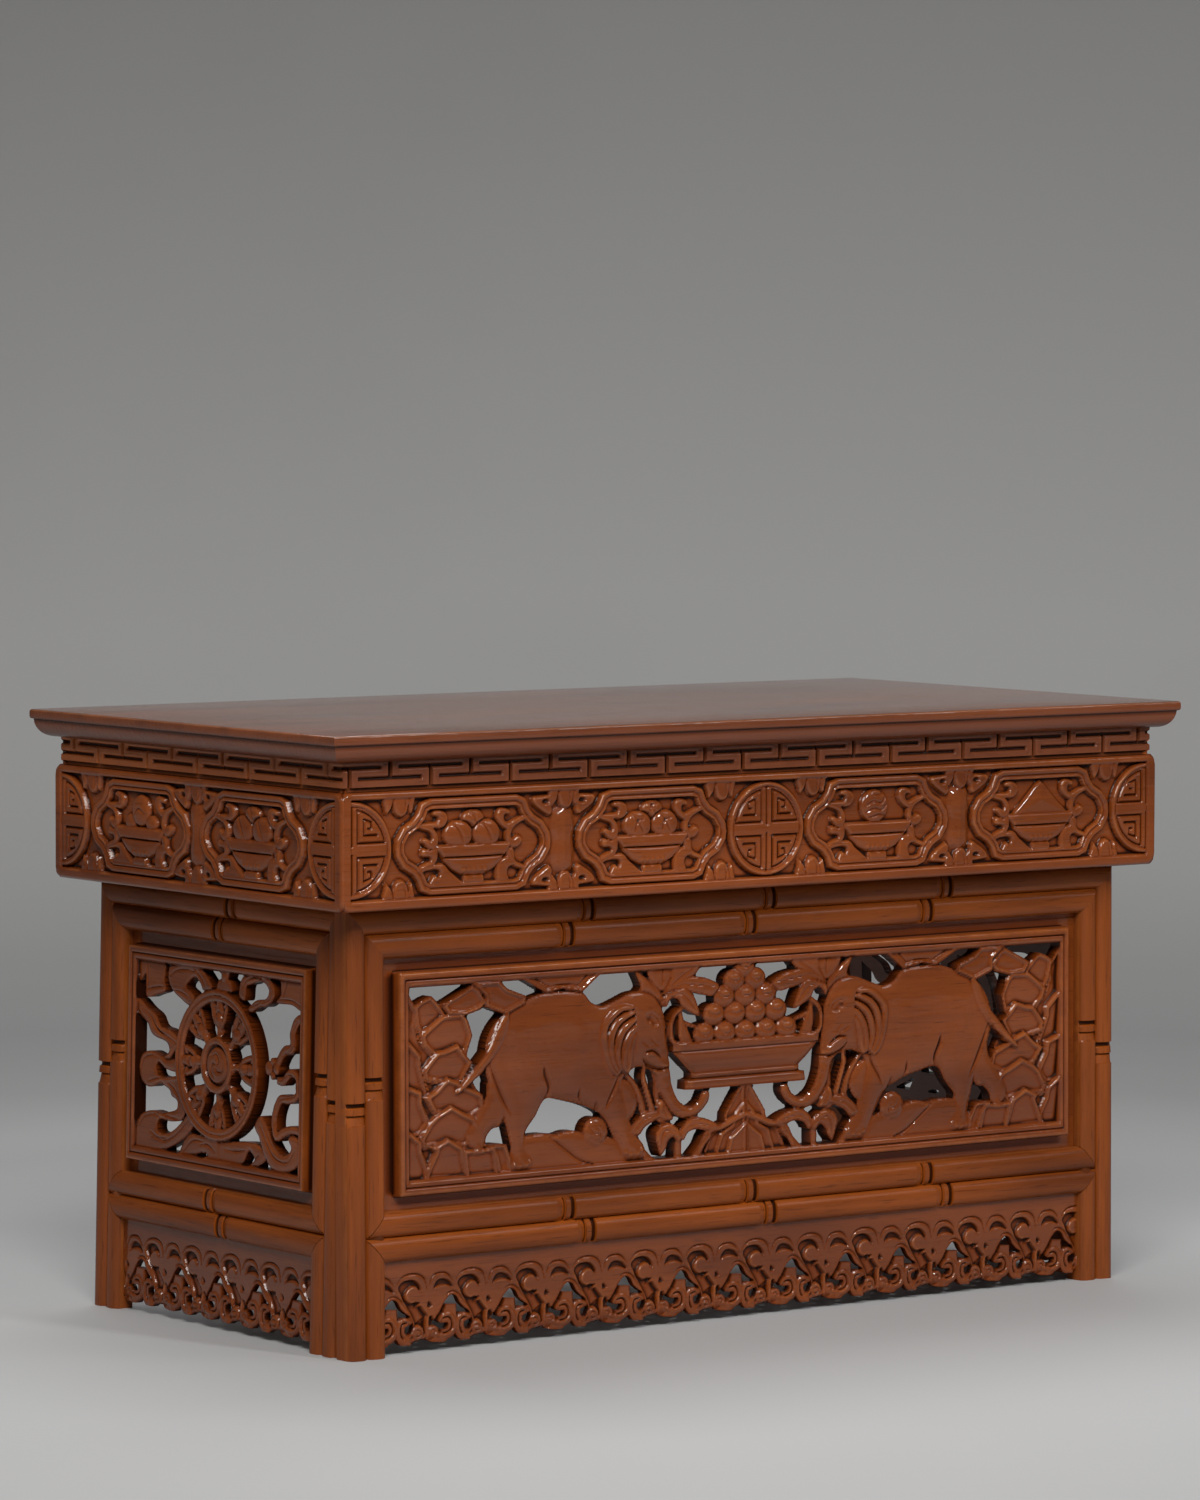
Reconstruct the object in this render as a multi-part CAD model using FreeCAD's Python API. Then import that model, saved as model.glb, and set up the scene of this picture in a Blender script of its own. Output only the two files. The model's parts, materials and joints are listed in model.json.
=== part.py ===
"""Low folding altar table: a carved top box carried by three hinged openwork panels.

Frame: origin at the middle of the footprint on the floor, +X along the front, +Y to the back,
+Z up, in millimetres. The side panels fold inward about a pin at their top inner edge.
"""
import FreeCAD, Part

import math
import os

# Table top
top_length = 704.0
top_width = 361.0
table_height = 400.0
lip_height = 6.0
lip_step = 2.0
moulding_height = 12.0
moulding_inset = 13.0

# Fret frieze and apron box
frieze_height = 18.6
frieze_recess = 3.5
fret_depth = 2.5
fret_line = 2.8
fret_pitch = 62.5
fret_bar = 49.0
fret_row_share = 0.4
apron_length = 679.0
apron_width = 340.0
apron_height = 75.8
apron_thickness = 15.0
apron_corner = 2.5
apron_border_side = 8.5
apron_border_top = 5.5
apron_border_bottom = 7.5
relief_depth = 3.0
relief_rise = 2.4
cartouche_half_length = 61.0
cartouche_gap = 10.0
cartouche_band = 4.0
cartouche_neck_share = 0.66
cartouche_shoulder_share = 0.55
medallion_radius = 31.0
bowl_length = 54.0
bowl_height = 18.0
bowl_foot_share = 0.35
heap_share = 0.8

# Beaded frames of the three base panels
front_length = 640.0
front_thickness = 16.0
side_thickness = 14.0
stile_bead = 14.5
rail_bead = 16.0
bead_rise = 4.5
node_rise = 0.8
node_length = 9.0
node_stagger = 15.8
front_node_pitch = 150.3
skirt_height = 60.5
foot_chamfer = 3.0
tenon_margin = 6.0
tenon_height = 9.0

# Grooves that hold the carved boards
tongue_length = 5.0
tongue_thickness = 4.0
groove_end_gap = 0.8
groove_face_gap = 0.15
groove_back_wall = 2.0

# Carved openwork boards
front_moat = 11.4
side_moat = 8.8
moat_top = 9.4
border_side = 7.6
border_top = 9.8
border_setback = 0.9
figure_setback = 3.6
ground_setback = 6.6
fruit_radius = 8.0
fruit_pitch = 17.0
fruit_row_height = 10.2
fruit_foot_share = 0.66
wheel_share = 0.802
wheel_rim_share = 0.16
hub_share = 0.38
spoke_share = 0.14
spoke_count = 8

# Pierced skirts under the lower rails
skirt_setback = 6.0
skirt_band = 14.0
skirt_floor_gap = 8.0
skirt_end_gap = 5.0
skirt_pitch = 46.4
front_skirt_phase = -7.6
side_skirt_phase = 0.0
skirt_hole_width = 32.0
skirt_hole_height = 22.0
skirt_hole_foot = 15.0
lobe_rise = 4.0

# Placing of the base panels
front_face_setback = 20.2
front_top_gap = 1.2
front_lean = 0.53
side_face_setback = 25.1
side_lean = 1.2
front_corner_gap = 2.3
rear_edge_gap = 0.7
fold_gap = 0.3

# Hinge carriers inside the apron box
side_rail_width = 60.0
side_rail_height = 22.0
cleat_height = 22.0
cleat_gap = 0.4
rail_gap = 0.6
corner_block_leg = 26.0

# Butt hinges
leaf_length = 38.0
leaf_width = 16.0
leaf_thickness = 1.5
barrel_radius = 1.8
pin_radius = 0.9
pin_bore_gap = 0.05
leaf_bed_gap = 0.1
knuckle_gap = 0.2
barrel_bed_gap = 0.35
panel_top_gap = 0.1
side_hinge_spacing = 180.0
front_hinge_spacing = 420.0
screw_radius = 1.2
screw_head_radius = 2.4
screw_length = 8.0
screw_gap = 0.05
leaf_screw_spacing = 24.0

# One overrun serves every cut
overrun = 5.0

# Values that follow from the sizes above
top_thickness = lip_height + moulding_height
apron_top = table_height - top_thickness - frieze_height
apron_bottom = apron_top - apron_height
field_half_height = (apron_height - apron_border_top - apron_border_bottom) / 2
field_middle = apron_bottom + apron_border_bottom + field_half_height
stile_width = 2 * stile_bead
rail_width = 2 * rail_bead
lower_rail_bottom = skirt_height
rail_middle = lower_rail_bottom + rail_bead
lower_rail_top = lower_rail_bottom + rail_width
front_panel_height = apron_bottom - front_top_gap
mitre_top = front_panel_height
top_rail_bottom = mitre_top - rail_width
front_y = -apron_width / 2 + front_face_setback
front_back_y = front_y + front_thickness
side_front_y = front_back_y + front_corner_gap
side_rear_y = apron_width / 2 - apron_thickness - rear_edge_gap
side_length = side_rear_y - side_front_y
side_mid_y = (side_rear_y + side_front_y) / 2
side_outer_x = apron_length / 2 - side_face_setback
side_inner_x = side_outer_x - side_thickness
front_pin_z = front_panel_height - barrel_radius - panel_top_gap
side_pin_z = front_pin_z + side_thickness + fold_gap
side_panel_height = side_pin_z + panel_top_gap
side_rail_bottom = side_pin_z + rail_gap
side_rail_top = side_rail_bottom + side_rail_height
cleat_bottom = front_panel_height + cleat_gap
box_inner_x = apron_length / 2 - apron_thickness
box_inner_y = apron_width / 2 - apron_thickness

# Outlines in a carved field: shares of its half width from the middle, and of its height from the bottom
elephant_shares = (
    (-0.313, 0.895), (-0.273, 0.854), (-0.247, 0.757), (-0.239, 0.634), (-0.231, 0.493), (-0.225, 0.387),
    (-0.205, 0.299), (-0.173, 0.260), (-0.145, 0.285), (-0.130, 0.334), (-0.111, 0.334), (-0.114, 0.278),
    (-0.145, 0.218), (-0.185, 0.201), (-0.229, 0.243), (-0.258, 0.343), (-0.273, 0.449), (-0.317, 0.497),
    (-0.353, 0.475), (-0.375, 0.414), (-0.361, 0.308), (-0.343, 0.167), (-0.311, 0.079), (-0.305, 0.017),
    (-0.337, -0.007), (-0.375, 0.014), (-0.397, 0.114), (-0.433, 0.246), (-0.480, 0.308), (-0.544, 0.349),
    (-0.602, 0.366), (-0.632, 0.278), (-0.660, 0.202), (-0.660, 0.105), (-0.638, 0.053), (-0.644, -0.000),
    (-0.707, 0.014), (-0.703, 0.097), (-0.716, 0.229), (-0.735, 0.334), (-0.760, 0.440), (-0.778, 0.546),
    (-0.779, 0.643), (-0.764, 0.740), (-0.728, 0.828), (-0.672, 0.881), (-0.608, 0.925), (-0.544, 0.928),
    (-0.492, 0.912), (-0.465, 0.854), (-0.429, 0.835), (-0.385, 0.863), (-0.349, 0.891),
)
hind_leg_shares = (
    (-0.760, 0.475), (-0.772, 0.405), (-0.800, 0.326), (-0.823, 0.264), (-0.834, 0.208), (-0.826, 0.144),
    (-0.800, 0.109), (-0.779, 0.130), (-0.775, 0.190), (-0.756, 0.232), (-0.732, 0.246), (-0.724, 0.334),
)
tail_shares = (
    (-0.712, 0.842), (-0.735, 0.807), (-0.772, 0.660), (-0.820, 0.546), (-0.866, 0.440), (-0.844, 0.454),
    (-0.800, 0.528), (-0.752, 0.634), (-0.720, 0.757),
)
saddle_shares = (
    (-0.672, 1.007), (-0.632, 0.951), (-0.600, 0.919), (-0.496, 0.919), (-0.473, 0.951), (-0.449, 1.007),
)
ground_hole_shares = (
    ((-1.006, 0.995), (-0.868, 0.995), (-0.920, 0.951), (-0.968, 0.925), (-0.992, 0.933)),
    ((-0.823, 0.819), (-0.767, 0.835), (-0.791, 0.722), (-0.823, 0.648), (-0.815, 0.740)),
    ((-0.707, 0.995), (-0.647, 0.995), (-0.655, 0.948), (-0.680, 0.925)),
    ((-0.490, 0.923), (-0.445, 0.995), (-0.361, 0.995), (-0.349, 0.951), (-0.369, 0.895),
     (-0.421, 0.854), (-0.453, 0.872)),
    ((-0.624, 0.264), (-0.602, 0.356), (-0.544, 0.334), (-0.484, 0.285), (-0.496, 0.229),
     (-0.560, 0.162), (-0.632, 0.208)),
    ((-0.778, 0.229), (-0.752, 0.229), (-0.736, 0.167), (-0.768, 0.141), (-0.779, 0.167)),
    ((-0.229, 0.511), (-0.194, 0.423), (-0.185, 0.334), (-0.202, 0.299), (-0.218, 0.396)),
    ((-0.109, 0.320), (-0.061, 0.341), (-0.089, 0.246), (-0.137, 0.208)),
    ((-0.300, 0.105), (-0.253, 0.114), (-0.257, 0.053), (-0.297, 0.035)),
    ((-0.225, 0.149), (-0.178, 0.167), (-0.185, 0.053), (-0.221, 0.026)),
    ((-0.247, 0.842), (-0.225, 0.837), (-0.228, 0.771), (-0.241, 0.778)),
    ((-0.189, 0.854), (-0.141, 0.854), (-0.153, 0.766), (-0.181, 0.771)),
    ((-0.141, 0.995), (-0.061, 0.995), (-0.087, 0.937), (-0.121, 0.933)),
)
bowl_shares = (
    (-0.215, 0.590), (-0.170, 0.440), (-0.185, 0.360), (0.185, 0.360), (0.170, 0.440), (0.215, 0.590),
)
mountain_shares = (
    (-0.120, -0.020), (-0.055, 0.120), (-0.090, 0.190), (-0.070, 0.280), (0.000, 0.405), (0.070, 0.280),
    (0.090, 0.190), (0.055, 0.120), (0.120, -0.020),
)
ribbon_shares = (
    ((-1.010, 0.890), (-0.700, 0.720), (-0.430, 0.700), (-0.430, 0.560), (-0.620, 0.600), (-0.800, 0.680),
     (-1.010, 0.780)),
    ((-1.010, 0.420), (-0.880, 0.500), (-0.620, 0.470), (-0.420, 0.420), (-0.420, 0.300), (-0.640, 0.340),
     (-0.880, 0.320)),
    ((-1.010, 0.110), (-0.880, 0.220), (-0.500, 0.210), (-0.200, 0.200), (-0.200, 0.080), (-0.500, -0.010),
     (-0.900, -0.010)),
    ((-0.980, 1.010), (-0.980, 0.800), (-0.720, 0.820), (-0.740, 1.010)),
    ((-0.600, 0.920), (-0.540, 1.010), (-0.150, 1.010), (-0.060, 0.860), (-0.300, 0.740), (-0.480, 0.780)),
    ((0.160, 0.880), (0.230, 1.010), (0.600, 1.010), (0.620, 0.820), (0.380, 0.700), (0.200, 0.800)),
    ((0.700, 1.010), (0.640, 0.830), (0.860, 0.810), (1.010, 0.820), (1.010, 1.010)),
    ((1.010, 0.760), (0.820, 0.620), (0.560, 0.560), (0.440, 0.520), (0.440, 0.400), (0.700, 0.460),
     (1.010, 0.580)),
    ((1.010, 0.440), (0.720, 0.380), (0.480, 0.260), (0.420, 0.180), (0.560, 0.060), (0.760, -0.010),
     (0.980, 0.040), (1.010, 0.300)),
    ((-0.300, -0.010), (-0.220, 0.110), (0.000, 0.140), (0.300, 0.130), (0.460, 0.020), (0.200, -0.010)),
    ((-0.110, 1.010), (-0.090, 0.860), (0.090, 0.860), (0.110, 1.010)),
)
hole_arch_shares = (
    (0.0, 1.0), (0.36, 0.74), (0.50, 0.20), (0.42, 0.0), (0.22, 0.10), (0.14, 0.45), (0.0, 0.60),
)


def vector(x, y, z):
    """Short form of a 3-D point."""
    return FreeCAD.Vector(x, y, z)


def box(x0, x1, y0, y1, z0, z1):
    """A block between two opposite corners."""
    return Part.makeBox(x1 - x0, y1 - y0, z1 - z0, vector(x0, y0, z0))


def rod(radius, length, base, direction):
    """A round bar from a base point along a direction."""
    return Part.makeCylinder(radius, length, base, direction)


def polygon_wire(points):
    """A closed wire of straight edges through (x, z) points in the plane y = 0."""
    corners = [vector(x, 0, z) for x, z in points]
    return Part.makePolygon(corners + corners[:1])


def smooth_wire(points):
    """A closed smooth wire through (x, z) points in the plane y = 0."""
    curve = Part.BSplineCurve()
    curve.interpolate(Points=[vector(x, 0, z) for x, z in points], PeriodicFlag=True)
    return Part.Wire([curve.toShape()])


def rectangle(x0, x1, z0, z1):
    """A closed rectangular wire in the plane y = 0."""
    return polygon_wire(((x0, z0), (x1, z0), (x1, z1), (x0, z1)))


def plate(wires, front, back):
    """A plate between two depths whose outline and holes are wires in the plane y = 0."""
    solid = Part.makeFace(wires, "Part::FaceMakerBullseye").extrude(vector(0, back - front, 0))
    solid.translate(vector(0, front, 0))
    return solid


def fuse(shapes):
    """One clean shape from several that touch or overlap."""
    first, *others = shapes
    return first.multiFuse(others).removeSplitter()


def joined(shapes):
    """One shape from several, fused one after another."""
    first, *others = shapes
    for shape in others:
        first = first.fuse(shape)
    return first


def tools(shapes):
    """Several cutting shapes as one."""
    first, *others = shapes
    return first.multiFuse(others) if others else first


def mirrored(points):
    """The same outline on the other side of the middle."""
    return [(-x, z) for x, z in points]


# Table top, frieze and apron


def edge_profile(half, side):
    """Waste outside the edge moulding: below a square lip, a small step and a round quarter."""
    lip_bottom = table_height - lip_height
    foot = table_height - top_thickness
    start = half - lip_step
    end = half - moulding_inset
    bulge = math.sin(math.radians(45))
    middle = vector(side * (end + (start - end) * bulge), 0, lip_bottom - moulding_height * bulge)
    top = vector(side * start, 0, lip_bottom)
    low = vector(side * end, 0, foot)
    reach = side * (half + overrun)
    corners = [
        low, vector(side * end, 0, foot - overrun), vector(reach, 0, foot - overrun),
        vector(reach, 0, lip_bottom), top,
    ]
    return Part.Face(Part.Wire([Part.Arc(top, middle, low).toShape(), *Part.makePolygon(corners).Edges]))


def make_top_board():
    """The solid top with its moulded edge, cut from all four sides."""
    half_x = top_length / 2
    half_y = top_width / 2
    board = box(-half_x, half_x, -half_y, half_y, table_height - top_thickness, table_height)
    reach = half_x + overrun
    for side in (-1, 1):
        end_cut = edge_profile(half_x, side)
        end_cut.translate(vector(0, -reach, 0))
        long_cut = edge_profile(half_y, side)
        long_cut.rotate(vector(0, 0, 0), vector(0, 0, 1), 90)
        long_cut.translate(vector(-reach, 0, 0))
        board = board.cut(end_cut.extrude(vector(0, 2 * reach, 0)))
        board = board.cut(long_cut.extrude(vector(2 * reach, 0, 0)))
    return board


def mitred_board(length, thickness, bottom, height):
    """A board whose outer face lies at y = 0 and whose ends are cut at 45 degrees in plan."""
    half = length / 2
    corners = [(-half, 0), (half, 0), (half - thickness, thickness), (thickness - half, thickness)]
    points = [vector(x, y, bottom) for x, y in corners]
    return Part.Face(Part.makePolygon(points + points[:1])).extrude(vector(0, 0, height))


def around_box(board, side, recess):
    """Turn and move a board to one side of the apron box, its face recess behind the apron's."""
    turns = {"front": 0, "right": 90, "back": 180, "left": -90}
    reach = apron_width / 2 if side in ("front", "back") else apron_length / 2
    board.translate(vector(0, recess - reach, 0))
    board.rotate(vector(0, 0, 0), vector(0, 0, 1), turns[side])
    return board


def fret_slots(half, bottom):
    """Interlocking T slots: each stem runs from one edge to a bar in the far row."""
    line = fret_line / 2
    low = bottom + frieze_height * fret_row_share
    high = bottom + frieze_height * (1 - fret_row_share)
    reach = int((half - fret_bar / 2) / (fret_pitch / 2))
    slots = []
    for step in range(-reach, reach + 1):
        middle = step * fret_pitch / 2
        from_top = step % 2 == reach % 2
        bar = low if from_top else high
        ends = (bar, bottom + frieze_height) if from_top else (bottom, bar)
        slots.append(box(middle - fret_bar / 2, middle + fret_bar / 2, -overrun, fret_depth,
                         bar - line, bar + line))
        slots.append(box(middle - line, middle + line, -overrun, fret_depth, *ends))
    return slots


def make_frieze(along):
    """One mitred strip of the key fret between the top and the apron."""
    strip = mitred_board(along, apron_thickness - frieze_recess, apron_top, frieze_height)
    return strip.cut(tools(fret_slots(along / 2, apron_top)))


def cartouche_wire(middle, half_length, half_height):
    """A lobed outline: a rectangle whose ends swell out as one round lobe each."""
    neck = half_length * cartouche_neck_share
    shoulder = half_height * cartouche_shoulder_share
    edges = []
    for side in (1, -1):
        corner = vector(middle + side * neck, 0, field_middle + side * half_height)
        far_corner = vector(middle - side * neck, 0, field_middle + side * half_height)
        start = vector(middle + side * neck, 0, field_middle + side * shoulder)
        end = vector(middle + side * neck, 0, field_middle - side * shoulder)
        low_corner = vector(middle + side * neck, 0, field_middle - side * half_height)
        tip = vector(middle + side * half_length, 0, field_middle)
        edges.append(Part.LineSegment(far_corner, corner).toShape())
        edges.append(Part.LineSegment(corner, start).toShape())
        edges.append(Part.Arc(start, tip, end).toShape())
        edges.append(Part.LineSegment(end, low_corner).toShape())
    return Part.Wire(edges)


def bowl_of_fruit(middle):
    """A footed bowl below the middle line and a heap of fruit above it."""
    half = bowl_length / 2
    foot = half * bowl_foot_share
    heap = half * heap_share
    bowl = [(middle - half, field_middle), (middle - foot, field_middle - bowl_height),
            (middle + foot, field_middle - bowl_height), (middle + half, field_middle)]
    fruit = Part.Wire([
        Part.Arc(vector(middle - heap, 0, field_middle), vector(middle, 0, field_middle + bowl_height),
                 vector(middle + heap, 0, field_middle)).toShape(),
        Part.LineSegment(vector(middle + heap, 0, field_middle),
                         vector(middle - heap, 0, field_middle)).toShape(),
    ])
    return [polygon_wire(bowl), fruit]


def apron_relief(half_field):
    """Raised cartouches, bowls and medallions on the ground of one apron board."""
    front = relief_depth - relief_rise
    pitch = 2 * cartouche_half_length + 2 * cartouche_gap
    repeats = max(1, int(half_field / pitch))
    start = half_field - medallion_radius - repeats * pitch + cartouche_gap
    centres = [start + cartouche_half_length + step * pitch for step in range(repeats)]
    wires = []
    for centre in centres:
        for middle in (-centre, centre):
            wires.append([cartouche_wire(middle, cartouche_half_length, field_half_height),
                          cartouche_wire(middle, cartouche_half_length - cartouche_band,
                                         field_half_height - cartouche_band)])
            wires += [[wire] for wire in bowl_of_fruit(middle)]
    pieces = [plate(loops, front, relief_depth + overrun) for loops in wires]
    discs = [-half_field, half_field] + ([0] if start > medallion_radius / 2 else [])
    for middle in discs:
        pieces.append(rod(medallion_radius, relief_rise + overrun, vector(middle, front, field_middle),
                          vector(0, 1, 0)))
    limit = box(-half_field, half_field, front, relief_depth + overrun, field_middle - field_half_height,
                field_middle + field_half_height)
    return [piece.common(limit) for piece in pieces]


def make_apron(along):
    """One mitred apron board with its raised border and its carved field."""
    board = mitred_board(along, apron_thickness, apron_bottom, apron_height)
    edges = [edge for edge in board.Edges
             if edge.BoundBox.YMax < overrun and edge.BoundBox.XLength > apron_thickness]
    board = board.makeFillet(apron_corner, edges)
    half_field = along / 2 - apron_border_side
    board = board.cut(box(-half_field, half_field, -overrun, relief_depth, field_middle - field_half_height,
                          field_middle + field_half_height))
    return fuse([board] + apron_relief(half_field))


def make_corner_blocks():
    """Glue blocks in the four inner corners, from the hinge rails up to the top."""
    blocks = []
    for side_x in (-1, 1):
        for side_y in (-1, 1):
            x0, x1 = sorted((side_x * box_inner_x, side_x * (box_inner_x - corner_block_leg)))
            y0, y1 = sorted((side_y * box_inner_y, side_y * (box_inner_y - corner_block_leg)))
            blocks.append(box(x0, x1, y0, y1, side_rail_top, table_height - top_thickness))
    return Part.makeCompound(blocks)


def make_side_rail(side):
    """Rail inside the apron that the side panel hangs from."""
    x0, x1 = sorted((side * box_inner_x, side * (box_inner_x - side_rail_width)))
    return box(x0, x1, front_back_y, box_inner_y, side_rail_bottom, side_rail_top)


def make_front_cleat():
    """Cleat behind the front apron that the front panel hangs from."""
    return box(-box_inner_x, box_inner_x, -box_inner_y, front_back_y, cleat_bottom,
               cleat_bottom + cleat_height)


# Beaded frame members, in the frame of one panel: x across, y into the panel, z up from the floor


def bead_section(bead, thickness):
    """Section of a frame member: two half-round beads in front and a flat back."""
    start = vector(0, bead_rise, 0)
    middle = vector(0, bead_rise, bead)
    end = vector(0, bead_rise, 2 * bead)
    first = Part.Arc(start, vector(0, 0, bead / 2), middle).toShape()
    second = Part.Arc(middle, vector(0, 0, bead + bead / 2), end).toShape()
    back = Part.makePolygon([end, vector(0, thickness, 2 * bead), vector(0, thickness, 0), start])
    return Part.Face(Part.Wire([first, second, *back.Edges]))


def bead_bar(length, bead, thickness, nodes):
    """A beaded bar along x with bamboo nodes at (distance, bead number) places."""
    collars = []
    for distance, row in nodes:
        start = distance - node_length / 2
        low = vector(start, bead_rise, row * bead)
        high = vector(start, bead_rise, (row + 1) * bead)
        arc = Part.Arc(low, vector(start, -node_rise, row * bead + bead / 2), high).toShape()
        base = Part.makePolygon([high, vector(start, thickness, (row + 1) * bead),
                                 vector(start, thickness, row * bead), low])
        collars.append(Part.Face(Part.Wire([arc, *base.Edges])).extrude(vector(node_length, 0, 0)))
    return fuse([bead_section(bead, thickness).extrude(vector(length, 0, 0))] + collars)


class PanelFrame:
    """Sizes and members of one base panel, worked out in the panel's own frame."""

    def __init__(self, length, height, thickness, moat, node_places):
        self.half = length / 2
        self.height = height
        self.thickness = thickness
        self.moat = moat
        self.node_places = node_places
        self.inner = self.half - stile_width
        self.tongue_back = thickness - groove_back_wall
        self.tongue_front = self.tongue_back - tongue_thickness
        self.field_half = self.inner - moat - border_side
        self.field_bottom = lower_rail_top + moat_top + border_top
        self.field_top = top_rail_bottom - moat_top - border_top

    def shaped(self, bar, outline):
        """The part of a bar that lies inside a front-view outline."""
        return bar.common(plate([polygon_wire(outline)], -overrun, self.thickness + overrun))

    def rail_nodes(self, outer_row):
        """Node places along a rail: the outer bead's nodes lie further along."""
        nodes = [(self.half + place, 1 - outer_row) for place in self.node_places]
        return nodes + [(self.half + place + node_stagger, outer_row) for place in self.node_places]

    def tenons(self, middle):
        """The two tenons of a rail, as blocks at one height."""
        blocks = []
        for side in (-1, 1):
            x0, x1 = sorted((side * (self.half - tenon_margin), side * (self.inner - tenon_margin)))
            blocks.append(box(x0, x1, self.tongue_front, self.tongue_back, middle - tenon_height / 2,
                              middle + tenon_height / 2))
        return blocks

    def grooves(self):
        """Grooves in the inner edges of the frame for the tongues of its two boards."""
        reach = tongue_length + groove_end_gap
        wide = self.inner + reach
        depth = (self.tongue_front - groove_face_gap, self.tongue_back)
        return [
            box(-wide, wide, *depth, lower_rail_top, top_rail_bottom),
            box(-self.inner, self.inner, *depth, lower_rail_top - reach, top_rail_bottom + reach),
            box(-wide, wide, *depth, skirt_end_gap - groove_end_gap, lower_rail_bottom),
            box(-self.inner, self.inner, *depth, skirt_end_gap, lower_rail_bottom + reach),
        ]

    def make_stile(self, side):
        """A stile with its top mitred and a notch for the pointed end of the lower rail."""
        start = -overrun
        middle = (lower_rail_top + top_rail_bottom) / 2 - start
        nodes = [(middle, 1), (middle - node_stagger, 0)]
        bar = bead_bar(self.height - start, stile_bead, self.thickness, nodes)
        bar.rotate(vector(0, 0, 0), vector(0, 1, 0), -90)
        bar.translate(vector(self.half, 0, start))
        if side < 0:
            bar = bar.mirror(vector(0, 0, 0), vector(1, 0, 0))
        outline = [
            (self.half, foot_chamfer), (self.half, mitre_top), (self.inner, top_rail_bottom),
            (self.inner, lower_rail_top), (self.inner + stile_bead, rail_middle),
            (self.inner, lower_rail_bottom), (self.inner, foot_chamfer), (self.inner + foot_chamfer, 0),
            (self.inner + foot_chamfer, start), (self.half - foot_chamfer, start),
            (self.half - foot_chamfer, 0),
        ]
        stile = self.shaped(bar, [(side * x, z) for x, z in outline])
        cuts = self.grooves() + self.tenons(rail_middle) + self.tenons(top_rail_bottom + rail_bead)
        return stile.cut(tools(cuts)).removeSplitter()

    def make_top_rail(self):
        """The top rail, mitred at both ends, with its tenons, its groove and a plain strip above."""
        bar = bead_bar(2 * self.half, rail_bead, self.thickness, self.rail_nodes(1))
        bar.translate(vector(-self.half, 0, top_rail_bottom))
        outline = [(-self.half, mitre_top), (self.half, mitre_top), (self.inner, top_rail_bottom),
                   (-self.inner, top_rail_bottom)]
        pieces = [self.shaped(bar, outline)] + self.tenons(top_rail_bottom + rail_bead)
        if self.height > mitre_top:
            pieces.append(box(-self.half, self.half, bead_rise, self.thickness, mitre_top, self.height))
        return fuse(pieces).cut(tools(self.grooves()))

    def make_lower_rail(self):
        """The lower rail with pointed ends, its tenons and a groove above and below."""
        bar = bead_bar(2 * self.half, rail_bead, self.thickness, self.rail_nodes(0))
        bar.translate(vector(-self.half, 0, lower_rail_bottom))
        tip = self.inner + stile_bead
        outline = [(-self.inner, lower_rail_top), (self.inner, lower_rail_top), (tip, rail_middle),
                   (self.inner, lower_rail_bottom), (-self.inner, lower_rail_bottom), (-tip, rail_middle)]
        return fuse([self.shaped(bar, outline)] + self.tenons(rail_middle)).cut(tools(self.grooves()))

    def scaled(self, shares):
        """Outline points from shares of the carved field."""
        return [(x * self.field_half, self.field_bottom + z * (self.field_top - self.field_bottom))
                for x, z in shares]

    def board_border(self):
        """Tongues, flat margin and raised border around the carved field."""
        field = (-self.field_half, self.field_half, self.field_bottom, self.field_top)
        outer = self.inner - self.moat
        wide = self.inner + tongue_length
        return [
            plate([rectangle(-wide, wide, lower_rail_top, top_rail_bottom), rectangle(*field)],
                  self.tongue_front, self.tongue_back),
            plate([rectangle(-self.inner, self.inner, lower_rail_top - tongue_length,
                             top_rail_bottom + tongue_length), rectangle(*field)],
                  self.tongue_front, self.tongue_back),
            plate([rectangle(-outer, outer, lower_rail_top + moat_top, top_rail_bottom - moat_top),
                   rectangle(*field)], border_setback, self.tongue_back),
        ]

    def clipped(self, solids):
        """Carved shapes kept within the border."""
        reach = border_side / 2
        limit = box(-self.field_half - reach, self.field_half + reach, -overrun, self.tongue_back,
                    self.field_bottom - reach, self.field_top + reach)
        return [solid.common(limit) for solid in solids]

    def make_skirt(self, phase):
        """The pierced skirt: a plain band over arched holes, with a lobed lower edge."""
        carved = self.inner - self.moat
        back = self.tongue_back
        wide = self.inner + tongue_length
        body = plate([self.skirt_outline(carved)], skirt_setback, back)
        pieces = [body]
        for side in (-1, 1):
            x0, x1 = sorted((side * carved, side * self.inner))
            pieces.append(box(x0, x1, skirt_setback, back, skirt_end_gap, lower_rail_bottom))
            x0, x1 = sorted((side * carved, side * wide))
            pieces.append(box(x0, x1, self.tongue_front, back, skirt_end_gap, lower_rail_bottom))
        pieces.append(box(-self.inner, self.inner, self.tongue_front, back, lower_rail_bottom - skirt_band,
                          lower_rail_bottom + tongue_length))
        edge = carved - border_side / 2
        limit = box(-edge, edge, -overrun, self.thickness + overrun, 0, lower_rail_bottom)
        reach = int((edge + abs(phase)) / skirt_pitch) + 1
        cuts = []
        for step in range(-reach, reach + 1):
            middle = phase + step * skirt_pitch
            if abs(middle) < edge:
                hole = plate([self.skirt_hole(middle)], -overrun, self.thickness + overrun)
                cuts.append(hole.common(limit))
        return fuse(pieces).cut(tools(cuts))

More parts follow.
